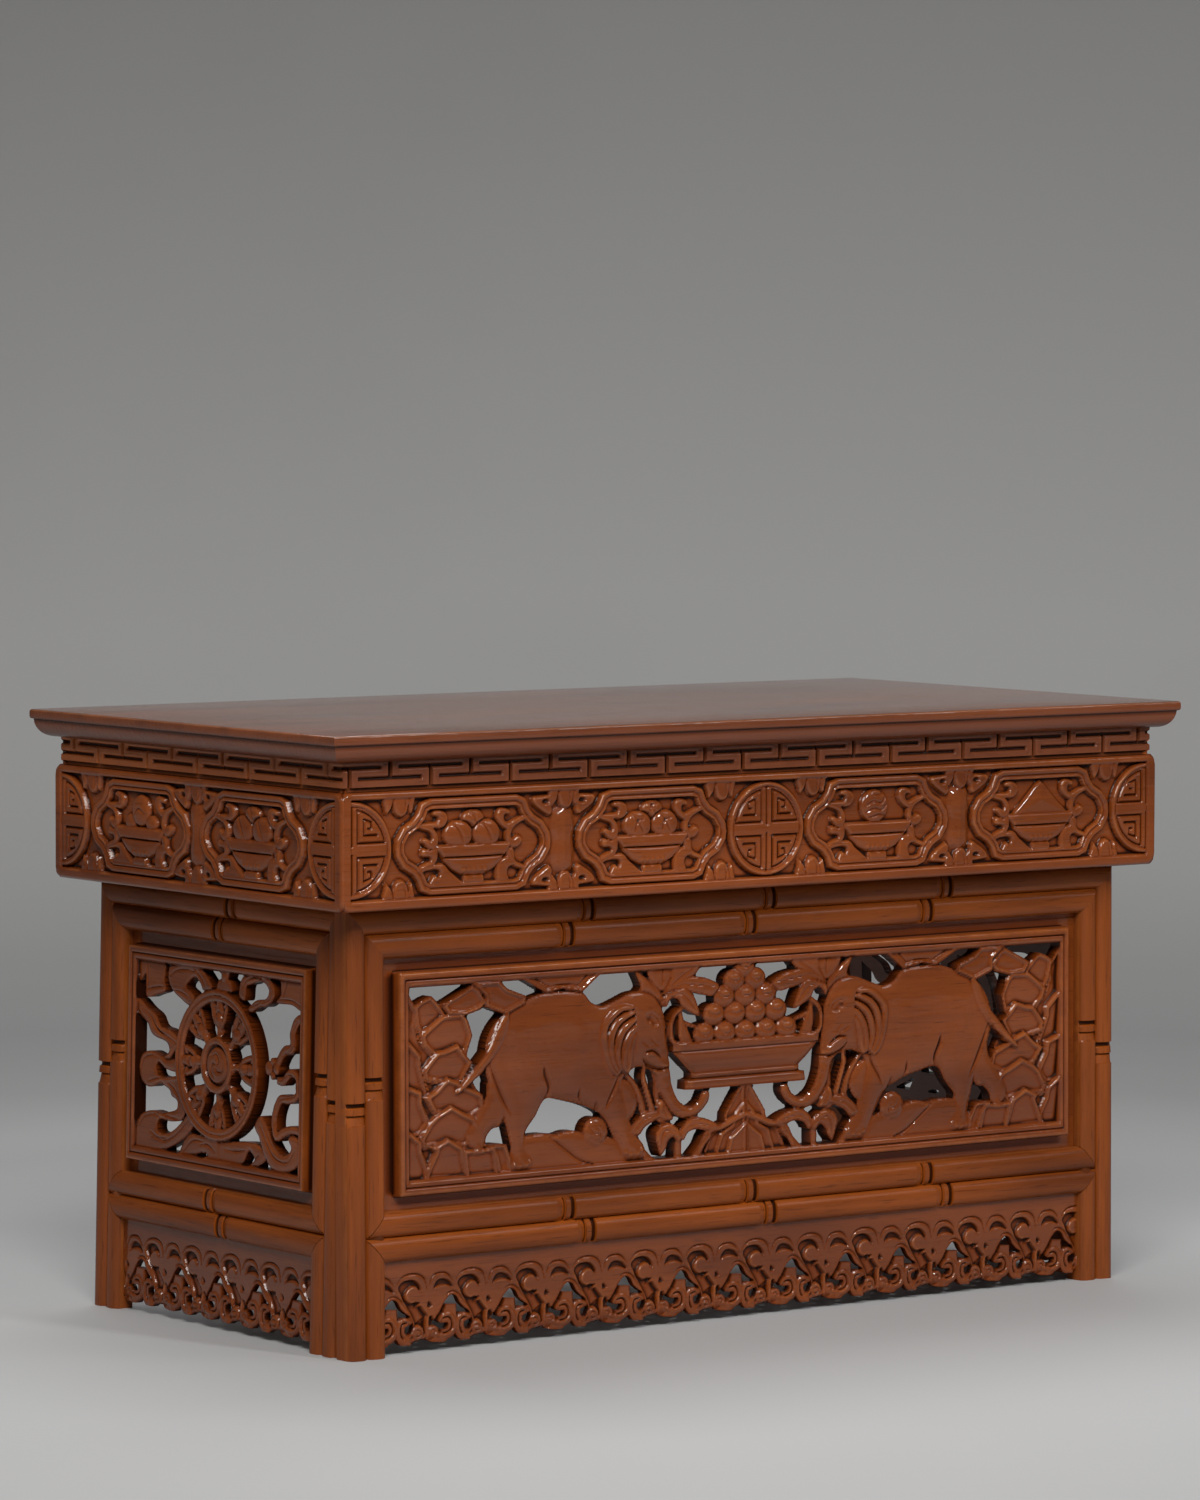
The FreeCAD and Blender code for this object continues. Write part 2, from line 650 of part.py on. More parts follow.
    def skirt_outline(self, carved):
        """Closed wire of the carved part: straight top and sides, lobes below."""
        count = 2 * int(round(2 * carved / skirt_pitch))
        step = 2 * carved / count
        low = skirt_floor_gap + lobe_rise
        edges = []
        for index in range(count):
            start = -carved + index * step
            edges.append(Part.Arc(vector(start, 0, low), vector(start + step / 2, 0, skirt_floor_gap),
                                  vector(start + step, 0, low)).toShape())
        sides = Part.makePolygon([vector(carved, 0, low), vector(carved, 0, lower_rail_bottom),
                                  vector(-carved, 0, lower_rail_bottom), vector(-carved, 0, low)])
        return Part.Wire([*edges, *sides.Edges])

    def skirt_hole(self, middle):
        """One arched hole around a standing bud."""
        right = [(x * skirt_hole_width, z * skirt_hole_height) for x, z in hole_arch_shares]
        points = right + mirrored(right[1:-1])[::-1]
        return smooth_wire([(middle + x, skirt_hole_foot + z) for x, z in points])


def make_front_carving(frame):
    """Openwork with two elephants that carry a fruit bowl between them."""
    back = frame.tongue_back
    holes = []
    for shares in ground_hole_shares:
        points = frame.scaled(shares)
        holes += [polygon_wire(points), polygon_wire(mirrored(points))]
    ground = plate([rectangle(-frame.field_half, frame.field_half, frame.field_bottom, frame.field_top)],
                   ground_setback, back)
    ground = ground.cut(tools([plate([wire], -overrun, frame.thickness + overrun) for wire in holes]))
    outlines = (elephant_shares, hind_leg_shares, tail_shares)
    wires = [smooth_wire(frame.scaled(shares)) for shares in outlines]
    wires.append(polygon_wire(frame.scaled(saddle_shares)))
    animal = joined([plate([wire], figure_setback, back) for wire in wires])
    wires = [polygon_wire(frame.scaled(shares)) for shares in (bowl_shares, mountain_shares)]
    middle = joined([plate([wire], figure_setback, back) for wire in wires] + fruit_heap(frame))
    twin = animal.mirror(vector(0, 0, 0), vector(1, 0, 0))
    board = fuse(frame.board_border()).fuse(ground)
    return joined([board] + frame.clipped([animal, twin, middle])).removeSplitter()


def fruit_heap(frame):
    """Round fruit in rows that grow shorter by one up to the border."""
    foot = frame.field_bottom + fruit_foot_share * (frame.field_top - frame.field_bottom)
    rows = int((frame.field_top + border_top / 2 - foot) / fruit_row_height) + 1
    fruit = []
    for row in range(rows):
        for place in range(rows - row):
            middle = (place - (rows - row - 1) / 2) * fruit_pitch
            base = vector(middle, figure_setback, foot + row * fruit_row_height)
            fruit.append(rod(fruit_radius, frame.tongue_back - figure_setback, base, vector(0, 1, 0)))
    return fruit


def make_side_carving(frame):
    """Openwork with a spoked wheel held by flying ribbons."""
    back = frame.tongue_back
    centre = vector(0, figure_setback, (frame.field_bottom + frame.field_top) / 2)
    depth = back - figure_setback
    along = vector(0, 1, 0)
    radius = wheel_share * (frame.field_top - frame.field_bottom) / 2
    rim_width = wheel_rim_share * radius
    spoke_width = spoke_share * radius
    rim = rod(radius, depth, centre, along).cut(rod(radius - rim_width, depth, centre, along))
    pieces = [rim, rod(hub_share * radius, depth, centre, along)]
    for step in range(spoke_count):
        spoke = box(0, radius - rim_width / 2, figure_setback, back, centre.z - spoke_width / 2,
                    centre.z + spoke_width / 2)
        spoke.rotate(centre, along, step * 360 / spoke_count)
        pieces.append(spoke)
    ribbons = [plate([smooth_wire(frame.scaled(shares))], ground_setback, back) for shares in ribbon_shares]
    return joined([fuse(frame.board_border())] + frame.clipped(ribbons) + [fuse(pieces)]).removeSplitter()


# Butt hinges in their own frame: x along the pin, +y away from the panel's inner face, z up


def leaf_holes(radius_gap):
    """Countersunk screws or their holes along a leaf that faces -z."""
    across = (barrel_radius + leaf_width) / 2
    shapes = []
    for place in (-leaf_screw_spacing / 2, leaf_screw_spacing / 2):
        base = vector(place, across, 0)
        head = Part.makeCone(screw_head_radius, screw_radius, screw_head_radius - screw_radius, base,
                             vector(0, 0, 1))
        shank = rod(screw_radius + radius_gap, screw_length + radius_gap, base, vector(0, 0, 1))
        shapes.append(head.fuse(shank).removeSplitter())
    return shapes


def leaf_set():
    """A leaf that faces -z with its screws, its bed and its screw holes."""
    half = leaf_length / 2
    return {
        "leaf": box(-half, half, 0, leaf_width, 0, leaf_thickness),
        "screws": Part.makeCompound(leaf_holes(0)),
        "holes": tools(leaf_holes(screw_gap)),
        "bed": box(-half - leaf_bed_gap, half + leaf_bed_gap, -barrel_radius, leaf_width + leaf_bed_gap,
                   -overrun, leaf_thickness),
    }


def turned(shapes, *turns):
    """The set of shapes turned about the pin, one (axis, angle) after another."""
    for axis, angle in turns:
        for shape in shapes.values():
            shape.rotate(vector(0, 0, 0), axis, angle)
    return shapes


def knuckles(spans, bore):
    """Knuckles of one leaf around the pin."""
    along = vector(1, 0, 0)
    rings = []
    for start, end in spans:
        base = vector(start, 0, 0)
        rings.append(rod(barrel_radius, end - start, base, along).cut(rod(bore, end - start, base, along)))
    return rings


def knuckle_room(spans):
    """Space that the knuckles of the other leaf turn in."""
    radius = barrel_radius + barrel_bed_gap
    return [rod(radius, end - start + 2 * knuckle_gap, vector(start - knuckle_gap, 0, 0), vector(1, 0, 0))
            for start, end in spans]


def make_hinge(fixed_gap, fixed_turn):
    """All parts of one hinge and the two cuts that it needs in the wood."""
    half = leaf_length / 2
    third = leaf_length / 6
    middle = [(-third, third)]
    ends = [(-half, -third - knuckle_gap), (third + knuckle_gap, half)]
    fixed = leaf_set()
    for shape in fixed.values():
        shape.translate(vector(0, 0, fixed_gap))
    turned(fixed, (vector(1, 0, 0), fixed_turn))
    moving = turned(leaf_set(), (vector(1, 0, 0), 90), (vector(0, 1, 0), 180))
    bore = rod(pin_radius, leaf_length, vector(-half, 0, 0), vector(1, 0, 0))
    wide_bore = rod(pin_radius + pin_bore_gap, leaf_length, vector(-half, 0, 0), vector(1, 0, 0))
    fixed_leaf = fixed["leaf"].cut(tools(knuckle_room(middle) + [bore, fixed["holes"]]))
    moving_leaf = moving["leaf"].cut(tools(knuckle_room(ends) + [wide_bore, moving["holes"]]))
    barrel = rod(barrel_radius + barrel_bed_gap, leaf_length + 2 * leaf_bed_gap,
                 vector(-half - leaf_bed_gap, 0, 0), vector(1, 0, 0))
    return {
        "fixed_leaves": fuse([fixed_leaf] + knuckles(ends, pin_radius)),
        "moving_leaves": fuse([moving_leaf] + knuckles(middle, pin_radius + pin_bore_gap)),
        "pins": bore,
        "fixed_screws": fixed["screws"],
        "moving_screws": moving["screws"],
        "fixed_cut": tools([fixed["bed"], barrel, fixed["holes"]]),
        "moving_cut": tools([moving["bed"], barrel, moving["holes"]]),
    }


def hinge_pair(hinge, spacing, thickness, pin_z):
    """Two hinges of one panel in the panel's frame, each part with its twin."""
    pair = {}
    for name, shape in hinge.items():
        twins = []
        for side in (-1, 1):
            twin = shape.copy()
            twin.translate(vector(side * spacing / 2, thickness, pin_z))
            twins.append(twin)
        pair[name] = Part.makeCompound([solid for twin in twins for solid in twin.Solids])
    return pair


# Assembly


def to_front(shape, lean):
    """Move a shape from the panel's frame to the front and lean its foot out."""
    shape.translate(vector(0, front_y, 0))
    shape.rotate(vector(0, front_back_y, front_pin_z), vector(1, 0, 0), -lean)
    return shape


def to_side(shape, side, lean):
    """Move a shape from the panel's frame to the left (-1) or right (1) and splay its foot."""
    shape.rotate(vector(0, 0, 0), vector(0, 0, 1), side * 90)
    shape.translate(vector(side * side_outer_x, side_mid_y, 0))
    shape.rotate(vector(side * side_inner_x, 0, side_pin_z), vector(0, 1, 0), -side * lean)
    return shape


def panel_wood(frame, carving, phase, hinges):
    """The wooden pieces of one panel in its own frame."""
    return {
        "left_stile": frame.make_stile(-1),
        "right_stile": frame.make_stile(1),
        "top_rail": frame.make_top_rail().cut(hinges["moving_cut"]),
        "lower_rail": frame.make_lower_rail(),
        "carved_panel": carving(frame),
        "skirt": frame.make_skirt(phase),
    }


def place_panel(wood, hinges, prefix, place, place_fixed):
    """All nodes of one panel in the table's frame, its feet cut level with the floor."""
    reach = top_length
    floor = box(-reach, reach, -reach, reach, -reach, 0)
    nodes = {prefix + name: place(shape.copy()).cut(floor) for name, shape in wood.items()}
    for name in ("moving_leaves", "moving_screws"):
        nodes[prefix + "hinge_" + name] = place(hinges[name].copy())
    for name in ("fixed_leaves", "pins", "fixed_screws"):
        nodes[prefix + "hinge_" + name] = place_fixed(hinges[name].copy())
    return nodes


def make_front():
    """Front cleat, hinges and front panel."""
    places = [step * front_node_pitch for step in (-1, 0, 1)]
    frame = PanelFrame(front_length, front_panel_height, front_thickness, front_moat, places)
    hinges = hinge_pair(make_hinge(0, 90), front_hinge_spacing, front_thickness, front_pin_z)
    wood = panel_wood(frame, make_front_carving, front_skirt_phase, hinges)
    nodes = place_panel(wood, hinges, "front_", lambda shape: to_front(shape, front_lean),
                        lambda shape: to_front(shape, 0))
    nodes["front_top_rail"] = nodes["front_top_rail"].cut(front_leaf_room())
    nodes["front_hinge_rail"] = make_front_cleat().cut(to_front(hinges["fixed_cut"], 0))
    return nodes


def front_leaf_room():
    """Space in the panel's top edge for the fixed leaves that pass in front of it."""
    half = leaf_length / 2 + leaf_bed_gap
    depth = leaf_thickness + barrel_bed_gap
    rooms = []
    for side in (-1, 1):
        middle = side * front_hinge_spacing / 2
        rooms.append(box(middle - half, middle + half, front_back_y - depth, front_back_y + overrun,
                         front_pin_z, front_panel_height + overrun))
    return tools(rooms)


def make_sides():
    """Side rails, hinges and the two side panels, which are alike."""
    frame = PanelFrame(side_length, side_panel_height, side_thickness, side_moat, [0])
    hinges = hinge_pair(make_hinge(rail_gap, 0), side_hinge_spacing, side_thickness, side_pin_z)
    wood = panel_wood(frame, make_side_carving, side_skirt_phase, hinges)
    nodes = {}
    for side, prefix in ((-1, "left_"), (1, "right_")):
        nodes.update(place_panel(wood, hinges, prefix, lambda shape: to_side(shape, side, side_lean),
                                 lambda shape: to_side(shape, side, 0)))
        rail = make_side_rail(side)
        nodes[prefix + "hinge_rail"] = rail.cut(to_side(hinges["fixed_cut"].copy(), side, 0))
    return nodes


def build_nodes():
    """Every node of the table in the table's frame."""
    nodes = {"top_board": make_top_board(), "corner_blocks": make_corner_blocks()}
    for along, sides in ((apron_length, ("front", "back")), (apron_width, ("left", "right"))):
        frieze = make_frieze(along - 2 * frieze_recess)
        apron = make_apron(along)
        for side in sides:
            nodes[side + "_fret_frieze"] = around_box(frieze.copy(), side, frieze_recess)
            nodes[side + "_apron"] = around_box(apron.copy(), side, 0)
    nodes.update(make_front())
    nodes.update(make_sides())
    return nodes


def main():
    """Build every piece and write one STEP file for each node."""
    os.makedirs("parts", exist_ok=True)
    for name, shape in build_nodes().items():
        shape.exportStep("parts/" + name + ".step")
        bounds = shape.BoundBox
        sizes = (bounds.XMin, bounds.XMax, bounds.YMin, bounds.YMax, bounds.ZMin, bounds.ZMax)
        rounded = [round(size, 2) for size in sizes]
        print(name, len(shape.Solids), shape.isValid(), round(shape.Volume), rounded)


if __name__ == "__main__":
    main()
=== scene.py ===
"""Looks of a folding altar table in carved and varnished wood.

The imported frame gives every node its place. Each sub-assembly below is a class that holds its sizes in
millimetres, models its pieces with Blender's own tools and dresses them in a procedural finish.
"""

import json
import logging
import math
from dataclasses import dataclass
from enum import Enum

import bpy
import numpy as np
from mathutils import Matrix, Vector

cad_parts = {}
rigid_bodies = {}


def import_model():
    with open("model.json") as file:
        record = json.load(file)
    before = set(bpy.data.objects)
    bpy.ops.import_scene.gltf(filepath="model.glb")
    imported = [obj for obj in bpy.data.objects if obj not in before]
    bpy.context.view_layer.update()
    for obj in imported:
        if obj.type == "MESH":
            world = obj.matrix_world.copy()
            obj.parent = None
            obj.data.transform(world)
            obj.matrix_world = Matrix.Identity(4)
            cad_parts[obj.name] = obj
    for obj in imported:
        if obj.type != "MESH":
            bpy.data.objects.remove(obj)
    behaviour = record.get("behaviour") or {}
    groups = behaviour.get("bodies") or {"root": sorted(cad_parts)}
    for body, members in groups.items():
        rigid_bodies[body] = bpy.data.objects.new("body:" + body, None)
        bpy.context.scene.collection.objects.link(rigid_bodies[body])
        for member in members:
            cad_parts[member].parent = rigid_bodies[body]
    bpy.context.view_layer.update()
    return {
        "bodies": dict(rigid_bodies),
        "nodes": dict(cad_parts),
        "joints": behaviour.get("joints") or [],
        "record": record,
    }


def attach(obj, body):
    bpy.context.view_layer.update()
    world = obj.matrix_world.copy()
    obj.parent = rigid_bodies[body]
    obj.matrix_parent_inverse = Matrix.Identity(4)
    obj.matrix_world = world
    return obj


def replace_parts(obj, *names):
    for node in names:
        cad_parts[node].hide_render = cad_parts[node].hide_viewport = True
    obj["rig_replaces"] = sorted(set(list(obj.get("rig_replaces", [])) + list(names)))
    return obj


Piece = bpy.types.Object
Socket = bpy.types.NodeSocket
Triple = tuple[float, float, float]

LOG = logging.getLogger("altar_table")
MM = 0.001
FAR = 1000.0
BOARD_LOW, BOARD_HIGH = 88.6, 258.4
MOULDING_LOW, MOULDING_HIGH = 101.9, 245.0
MOULDING_WIDTHS = (7.6, 9.8)
MOAT_LEVEL = -9.95
BOARD_FACE = -0.4


class GrainAxis(Enum):
    """Direction in which the long fibres of a piece run, in the table's frame."""

    ALONG_X = 0
    ALONG_Y = 1
    ALONG_Z = 2


# Helpers


def deselect_all() -> None:
    """Leave nothing selected and object mode on."""
    if bpy.context.object is not None and bpy.context.object.mode != "OBJECT":
        mode("OBJECT")
    bpy.ops.object.select_all(action="DESELECT")


def mode(name: str) -> None:
    """Go to object mode or edit mode."""
    bpy.ops.object.mode_set(mode=name)


def take(obj: Piece) -> None:
    """Select one object alone and make it the active one."""
    deselect_all()
    obj.select_set(True)
    bpy.context.view_layer.objects.active = obj


def new_grid(name: str, columns: int, rows: int) -> Piece:
    """Start a piece from a flat grid.

    Args:
        name: Name of the piece.
        columns: Number of its lines across.
        rows: Number of its lines along the other side.

    Returns:
        The piece, selected alone.
    """
    deselect_all()
    bpy.ops.mesh.primitive_grid_add(x_subdivisions=columns - 1, y_subdivisions=rows - 1, size=1)
    piece = bpy.context.object
    piece.name = piece.data.name = name
    return piece


def face_outwards() -> None:
    """Turn all faces of the piece being edited outwards and leave edit mode."""
    bpy.ops.mesh.select_all(action="SELECT")
    bpy.ops.mesh.normals_make_consistent(inside=False)
    mode("OBJECT")


def mark_hollow(piece: Piece, values: np.ndarray) -> None:
    """Note each point's hollow value: -1 on a worn edge, which the moat's painted light also reaches, up to 1
    in a hollow darkened by painted shade and some darker varnish.
    """
    marks = piece.data.attributes.new("hollow", "FLOAT", "POINT")
    marks.data.foreach_set("value", np.clip(values, -1, 1).ravel().astype(np.float32))


def numbers(text: str) -> np.ndarray:
    """Read a drawing's points.

    Args:
        text: Points as "x z, x z", in millimetres.

    Returns:
        An array with one row for each point.
    """
    return np.array([[float(value) for value in point.split()] for point in text.split(",") if point.strip()])


def smoothed(points: np.ndarray, closed: bool, parts: int = 5) -> np.ndarray:
    """Draw a Catmull-Rom curve through points.

    Args:
        points: One row for each point, with two or more columns.
        closed: Whether the curve comes back to its first point.
        parts: Straight runs for each span.

    Returns:
        The points along the curve.
    """
    if closed:
        padded = np.vstack([points[-1], points, points[0], points[1]])
    else:
        padded = np.vstack([2 * points[0] - points[1], points, 2 * points[-1] - points[-2]])
    rows = []
    for before, start, end, after in zip(padded[:-3], padded[1:-2], padded[2:-1], padded[3:]):
        for share in np.arange(parts) / parts:
            rows.append(0.5 * (2 * start + (end - before) * share
                               + (2 * before - 5 * start + 4 * end - after) * share ** 2
                               + (3 * start - before - 3 * end + after) * share ** 3))
    if not closed:
        rows.append(padded[-2])
    return np.array(rows)


def eased(value: np.ndarray) -> np.ndarray:
    """Clip to 0 and 1 with a soft start and end."""
    value = np.clip(value, 0, 1)
    return value * value * (3 - 2 * value)


def blurred(field_map: np.ndarray, cells: int) -> np.ndarray:
    """Mean of a map over a square of cells, taken twice."""
    for _ in range(2):
        for axis in (0, 1):
            pad = [(cells + 1, cells) if index == axis else (0, 0) for index in (0, 1)]
            total = np.cumsum(np.pad(field_map, pad, mode="edge"), axis=axis)
            width = 2 * cells + 1
            high = np.take(total, range(width, total.shape[axis]), axis=axis)
            low = np.take(total, range(0, total.shape[axis] - width), axis=axis)
            field_map = (high - low) / width
    return field_map


# Drawn shapes


@dataclass
class Outline:
    """A closed flat shape, given as a list of points."""

    points: np.ndarray
    smooth: bool = True

    def __post_init__(self) -> None:
        """Round the outline."""
        self.run = smoothed(self.points, True) if self.smooth else np.asarray(self.points, float)

    def bounds(self) -> tuple[np.ndarray, np.ndarray]:
        """Lowest and highest corner."""
        return self.run.min(0), self.run.max(0)

    def distance(self, x: np.ndarray, z: np.ndarray) -> np.ndarray:
        """Distance from the edge, positive inside.

        Args:
            x: Across values of the places asked for.
            z: Height values of the same places.

        Returns:
            Millimetres for each place.
        """
        best = np.full(x.shape, 1e9)
        inside = np.zeros(x.shape, bool)
        for (ax, az), (bx, bz) in zip(self.run, np.roll(self.run, -1, 0)):
            dx, dz = bx - ax, bz - az
            share = np.clip(((x - ax) * dx + (z - az) * dz) / max(dx * dx + dz * dz, 1e-9), 0, 1)
            best = np.minimum(best, (x - ax - share * dx) ** 2 + (z - az - share * dz) ** 2)
            if bz != az:
                inside ^= ((az > z) != (bz > z)) & (x < dx * (z - az) / dz + ax)
        return np.where(inside, 1, -1) * np.sqrt(best)


@dataclass
class Stroke:
    """A line drawn with a round tool whose width changes along it."""

    points: np.ndarray
    widths: tuple[float, ...]
    smooth: bool = True

    def __post_init__(self) -> None:
        """Round the line and give each of its points a radius."""
        where = np.linspace(0, len(self.points) - 1, len(self.widths))
        radius = np.interp(np.arange(len(self.points)), where, np.array(self.widths) / 2)
        rows = np.column_stack([self.points, radius])
        self.run = smoothed(rows, False) if self.smooth else rows

    def bounds(self) -> tuple[np.ndarray, np.ndarray]:
        """Lowest and highest corner."""
        reach = self.run[:, 2].max()
        return self.run[:, :2].min(0) - reach, self.run[:, :2].max(0) + reach

    def distance(self, x: np.ndarray, z: np.ndarray) -> np.ndarray:
        """Distance from the edge, positive inside, as for Outline."""
        best = np.full(x.shape, -1e9)
        for (ax, az, ar), (bx, bz, br) in zip(self.run[:-1], self.run[1:]):
            dx, dz = bx - ax, bz - az
            share = np.clip(((x - ax) * dx + (z - az) * dz) / max(dx * dx + dz * dz, 1e-9), 0, 1)
            gap = np.hypot(x - ax - share * dx, z - az - share * dz)
            best = np.maximum(best, ar + share * (br - ar) - gap)
        return best


@dataclass
class Disc:
    """A round or oval shape."""

    centre: tuple[float, float]
    radius: float
    height_share: float = 1.0

    def bounds(self) -> tuple[np.ndarray, np.ndarray]:
        """Lowest and highest corner."""
        reach = np.array([self.radius, self.radius * self.height_share])
        return np.array(self.centre) - reach, np.array(self.centre) + reach

    def distance(self, x: np.ndarray, z: np.ndarray) -> np.ndarray:
        """Distance from the edge, positive inside, as for Outline."""
        across = x - self.centre[0]
        up = (z - self.centre[1]) / self.height_share
        return (self.radius - np.hypot(across, up)) * min(1.0, self.height_share)


Shape = Outline | Stroke | Disc


def drawn(text: str, smooth: bool = True) -> Outline:
    """A closed shape from its written points."""
    return Outline(numbers(text), smooth)


def stroke(text: str, *widths: float, smooth: bool = True) -> Stroke:
    """A line from its written points."""
    return Stroke(numbers(text), widths, smooth)


# Relief


@dataclass
class ReliefCanvas:
    """Height map of one carved board, looked at from its face.

    Heights are millimetres in front of the board's own datum, so what lies deeper is more negative.
    """

    left: float
    right: float
    bottom: float
    top: float
    step: float
    ground: float
    margin: tuple[float, float, float, float] = (0.0, 0.0, 0.0, 0.0)

    def __post_init__(self) -> None:
        """Lay out the cells, close together inside and wide apart in the plain margins."""
        self.across = self.spaced(self.left, self.right, self.margin[0], self.margin[1])
        self.up = self.spaced(self.bottom, self.top, self.margin[2], self.margin[3])
        self.x, self.z = np.meshgrid(self.across, self.up)
        self.height = np.full(self.x.shape, float(self.ground))
        self.cover = np.full(self.x.shape, -FAR)
        self.open = np.full(self.x.shape, -FAR)
        # Painted marks for each cell: above zero is painted shade, below zero is painted light in the lighter
        # worn colour.
        self.painted_shade_and_lift = np.zeros(self.x.shape)

    def spaced(self, low: float, high: float, before: float, after: float) -> np.ndarray:
        """Places of the grid's lines along one side.

        Args:
            low: First line.
            high: Last line.
            before: Width of the plain margin at the start.
            after: Width of the plain margin at the end.

        Returns:
            The places.
        """
        cells = max(int(round((high - low - before - after) / self.step)), 2)
        cells += cells % 2
        parts = [np.linspace(low + before, high - after, cells + 1)]
        if before:
            parts.insert(0, np.linspace(low, low + before, 4)[:-1])
        if after:
            parts.append(np.linspace(high - after, high, 4)[1:])
        return np.concatenate(parts)

    def distance(self, shape: Shape, margin: float = 4.0) -> tuple[tuple, np.ndarray]:
        """Distance of the cells near a shape from its edge.

        Args:
            shape: The shape.
            margin: How far outside the shape the cells are still wanted.

        Returns:
            The window of cells and their distances.
        """
        low, high = shape.bounds()
        columns = slice(*np.searchsorted(self.across, (low[0] - margin, high[0] + margin)))
        rows = slice(*np.searchsorted(self.up, (low[1] - margin, high[1] + margin)))
        window = (rows, columns)
        return window, shape.distance(self.x[window], self.z[window])

    def raise_to(self, window: tuple, gap: np.ndarray, made: np.ndarray, covers: bool = True) -> None:
        """Keep the higher of what is there and what is made.

        Args:
            window: The cells.
            gap: Their distances from the shape's edge.
            made: The heights made there.
            covers: Whether wood stays under the shape where the ground is pierced.
        """
        self.height[window] = np.maximum(self.height[window], made)
        if covers:
            self.cover[window] = np.maximum(self.cover[window], gap)

    def lay(self, shape: Shape, level: float, rise: float = 0.0, round_over: float = 3.0,
            wall: float = 2.4) -> None:
        """Add a raised shape, its edge at a level and its middle crowned.

        Args:
            shape: The shape.
            level: Height of its edge.
            rise: How much higher its middle is.
            round_over: Distance from the edge over which it rises.
            wall: Steepness of the wall around it.
        """
        window, gap = self.distance(shape)
        share = np.clip(gap / round_over, 0, 1)
        crown = rise * np.sqrt(np.clip(1 - (1 - share) ** 2, 0, 1))
        self.raise_to(window, gap, np.where(gap >= 0, level + crown, level + wall * gap))

    def lay_rimmed(self, shape: Shape, level: float, rim: float, rim_rise: float,
                   dish: float = 0.0, wall: float = 2.4, tilt: float = 0.0) -> None:
        """Add a flat shape with a raised band along its edge.

        Args:
            shape: The shape.
            level: Height of the flat.
            rim: Width of the band.
            rim_rise: How much the band stands up.
            dish: How much the flat swells in its middle.
            wall: Steepness of the wall around it.
            tilt: How much the flat falls back for each millimetre below the shape's top.
        """
        window, gap = self.distance(shape)
        band = np.clip(1 - np.abs(gap / rim - 0.5) * 2, 0, 1) ** 0.5
        swell = dish * eased((gap - rim) / 6) - tilt * (shape.bounds()[1][1] - self.z[window])
        face = level + rim_rise * np.where(gap < rim, band, 0) + swell
        self.raise_to(window, gap, np.where(gap >= 0, face, level + wall * gap))

    def lay_profile(self, shape: Shape, table: str, covers: bool = True) -> None:
        """Add a shape whose height follows a table of distances from its edge.

        Args:
            shape: The shape.
            table: Rows as "distance height", in millimetres, distances rising.
            covers: Whether wood stays under it where the ground is pierced.
        """
        rows = numbers(table)
        window, gap = self.distance(shape)
        made = np.where(gap < rows[0, 0], -FAR, np.interp(gap, rows[:, 0], rows[:, 1]))
        self.raise_to(window, gap, made, covers)

    def score(self, shape: Shape, depth: float) -> None:
        """Cut a groove as wide as a shape, deepest in its middle."""
        window, gap = self.distance(shape, 2.0)
        gap = gap + 0.45 * self.step
        self.height[window] -= depth * 1.35 * eased(gap / gap.max(initial=1e-6))

    def swell(self, shape: Shape, rise: float, reach: float) -> None:
        """Raise what is there already, softly from a shape's edge inwards, or lower it."""
        window, gap = self.distance(shape, 0.5)
        self.height[window] += rise * eased(gap / reach) * (gap > 0)

    def sink(self, shape: Shape, level: float, painted_shade_and_lift: float = 0.0) -> None:
        """Cut a pocket with steep sides down to a level, its floor darkened by as much again as painted
        shade.
        """
        window, gap = self.distance(shape, 1.0)
        floor = level + (self.height[window] - level) * eased(0.5 - gap / self.step / 2)
        self.height[window] = np.minimum(self.height[window], floor)
        self.painted_shade_and_lift[window] = np.where(gap > 0, painted_shade_and_lift, self.painted_shade_and_lift[window])

    def pierce(self, shape: Shape) -> None:
        """Open the ground inside a shape."""
        window, gap = self.distance(shape)
        self.open[window] = np.maximum(self.open[window], gap)

    def keep_below(self, level: float) -> None:
        """Take down whatever stands above a level."""
        self.height = np.minimum(self.height, level)

    def frame_moulding(self, half: float, low: float, high: float, border: tuple[float, float],
                       moat: float) -> None:
        """Cut the stepped moulding around a field, and the flat moat outside it.

        Args:
            half: Half the length of the moulding's outer edge.
            low: Height of its lower outer edge.
            high: Height of its upper outer edge.
            border: Its width at the ends, and at top and bottom.
            moat: Height of the moat's floor.
        """
        side = (half - np.abs(self.x)) / border[0]
        level = np.minimum(self.z - low, high - self.z) / border[1]
        share = np.minimum(side, level)
        rim = np.interp(share, [-0.05, -0.01, 0.05, 0.12, 0.42, 0.47, 0.54, 0.60, 0.86, 1.0],
                        [moat, -2.2, -1.1, -0.9, -0.9, -2.3, -2.3, -1.4, -1.6, -3.6])
        chosen = share < 1
        self.height = np.where(chosen, rim, self.height)
        # Painted shade and painted light: a dark line along the moulding's outer wall where its shadow falls,
        # and the moat floor lightened with the worn colour to lift the shadow on it.
        painted_shade_and_lift = np.interp(share, [-0.6, -0.25, -0.12, -0.08, -0.03, 0.03, 0.06],
                          [-0.45, -0.6, -1.9, 0.2, 0.95, 0.95, 0.25])
        self.painted_shade_and_lift = np.where(chosen, painted_shade_and_lift, self.painted_shade_and_lift)
        inside = np.minimum(side * border[0] - border[0], level * border[1] - border[1])
        self.open = np.where(chosen, (share - 1) * border[0], inside)

    def mirror_left(self) -> None:
        """Copy the left half to the right half, which is alike."""
        half = self.x.shape[1] // 2
        for values in (self.height, self.cover, self.open, self.painted_shade_and_lift):
            values[:, -half:] = values[:, :half][:, ::-1]

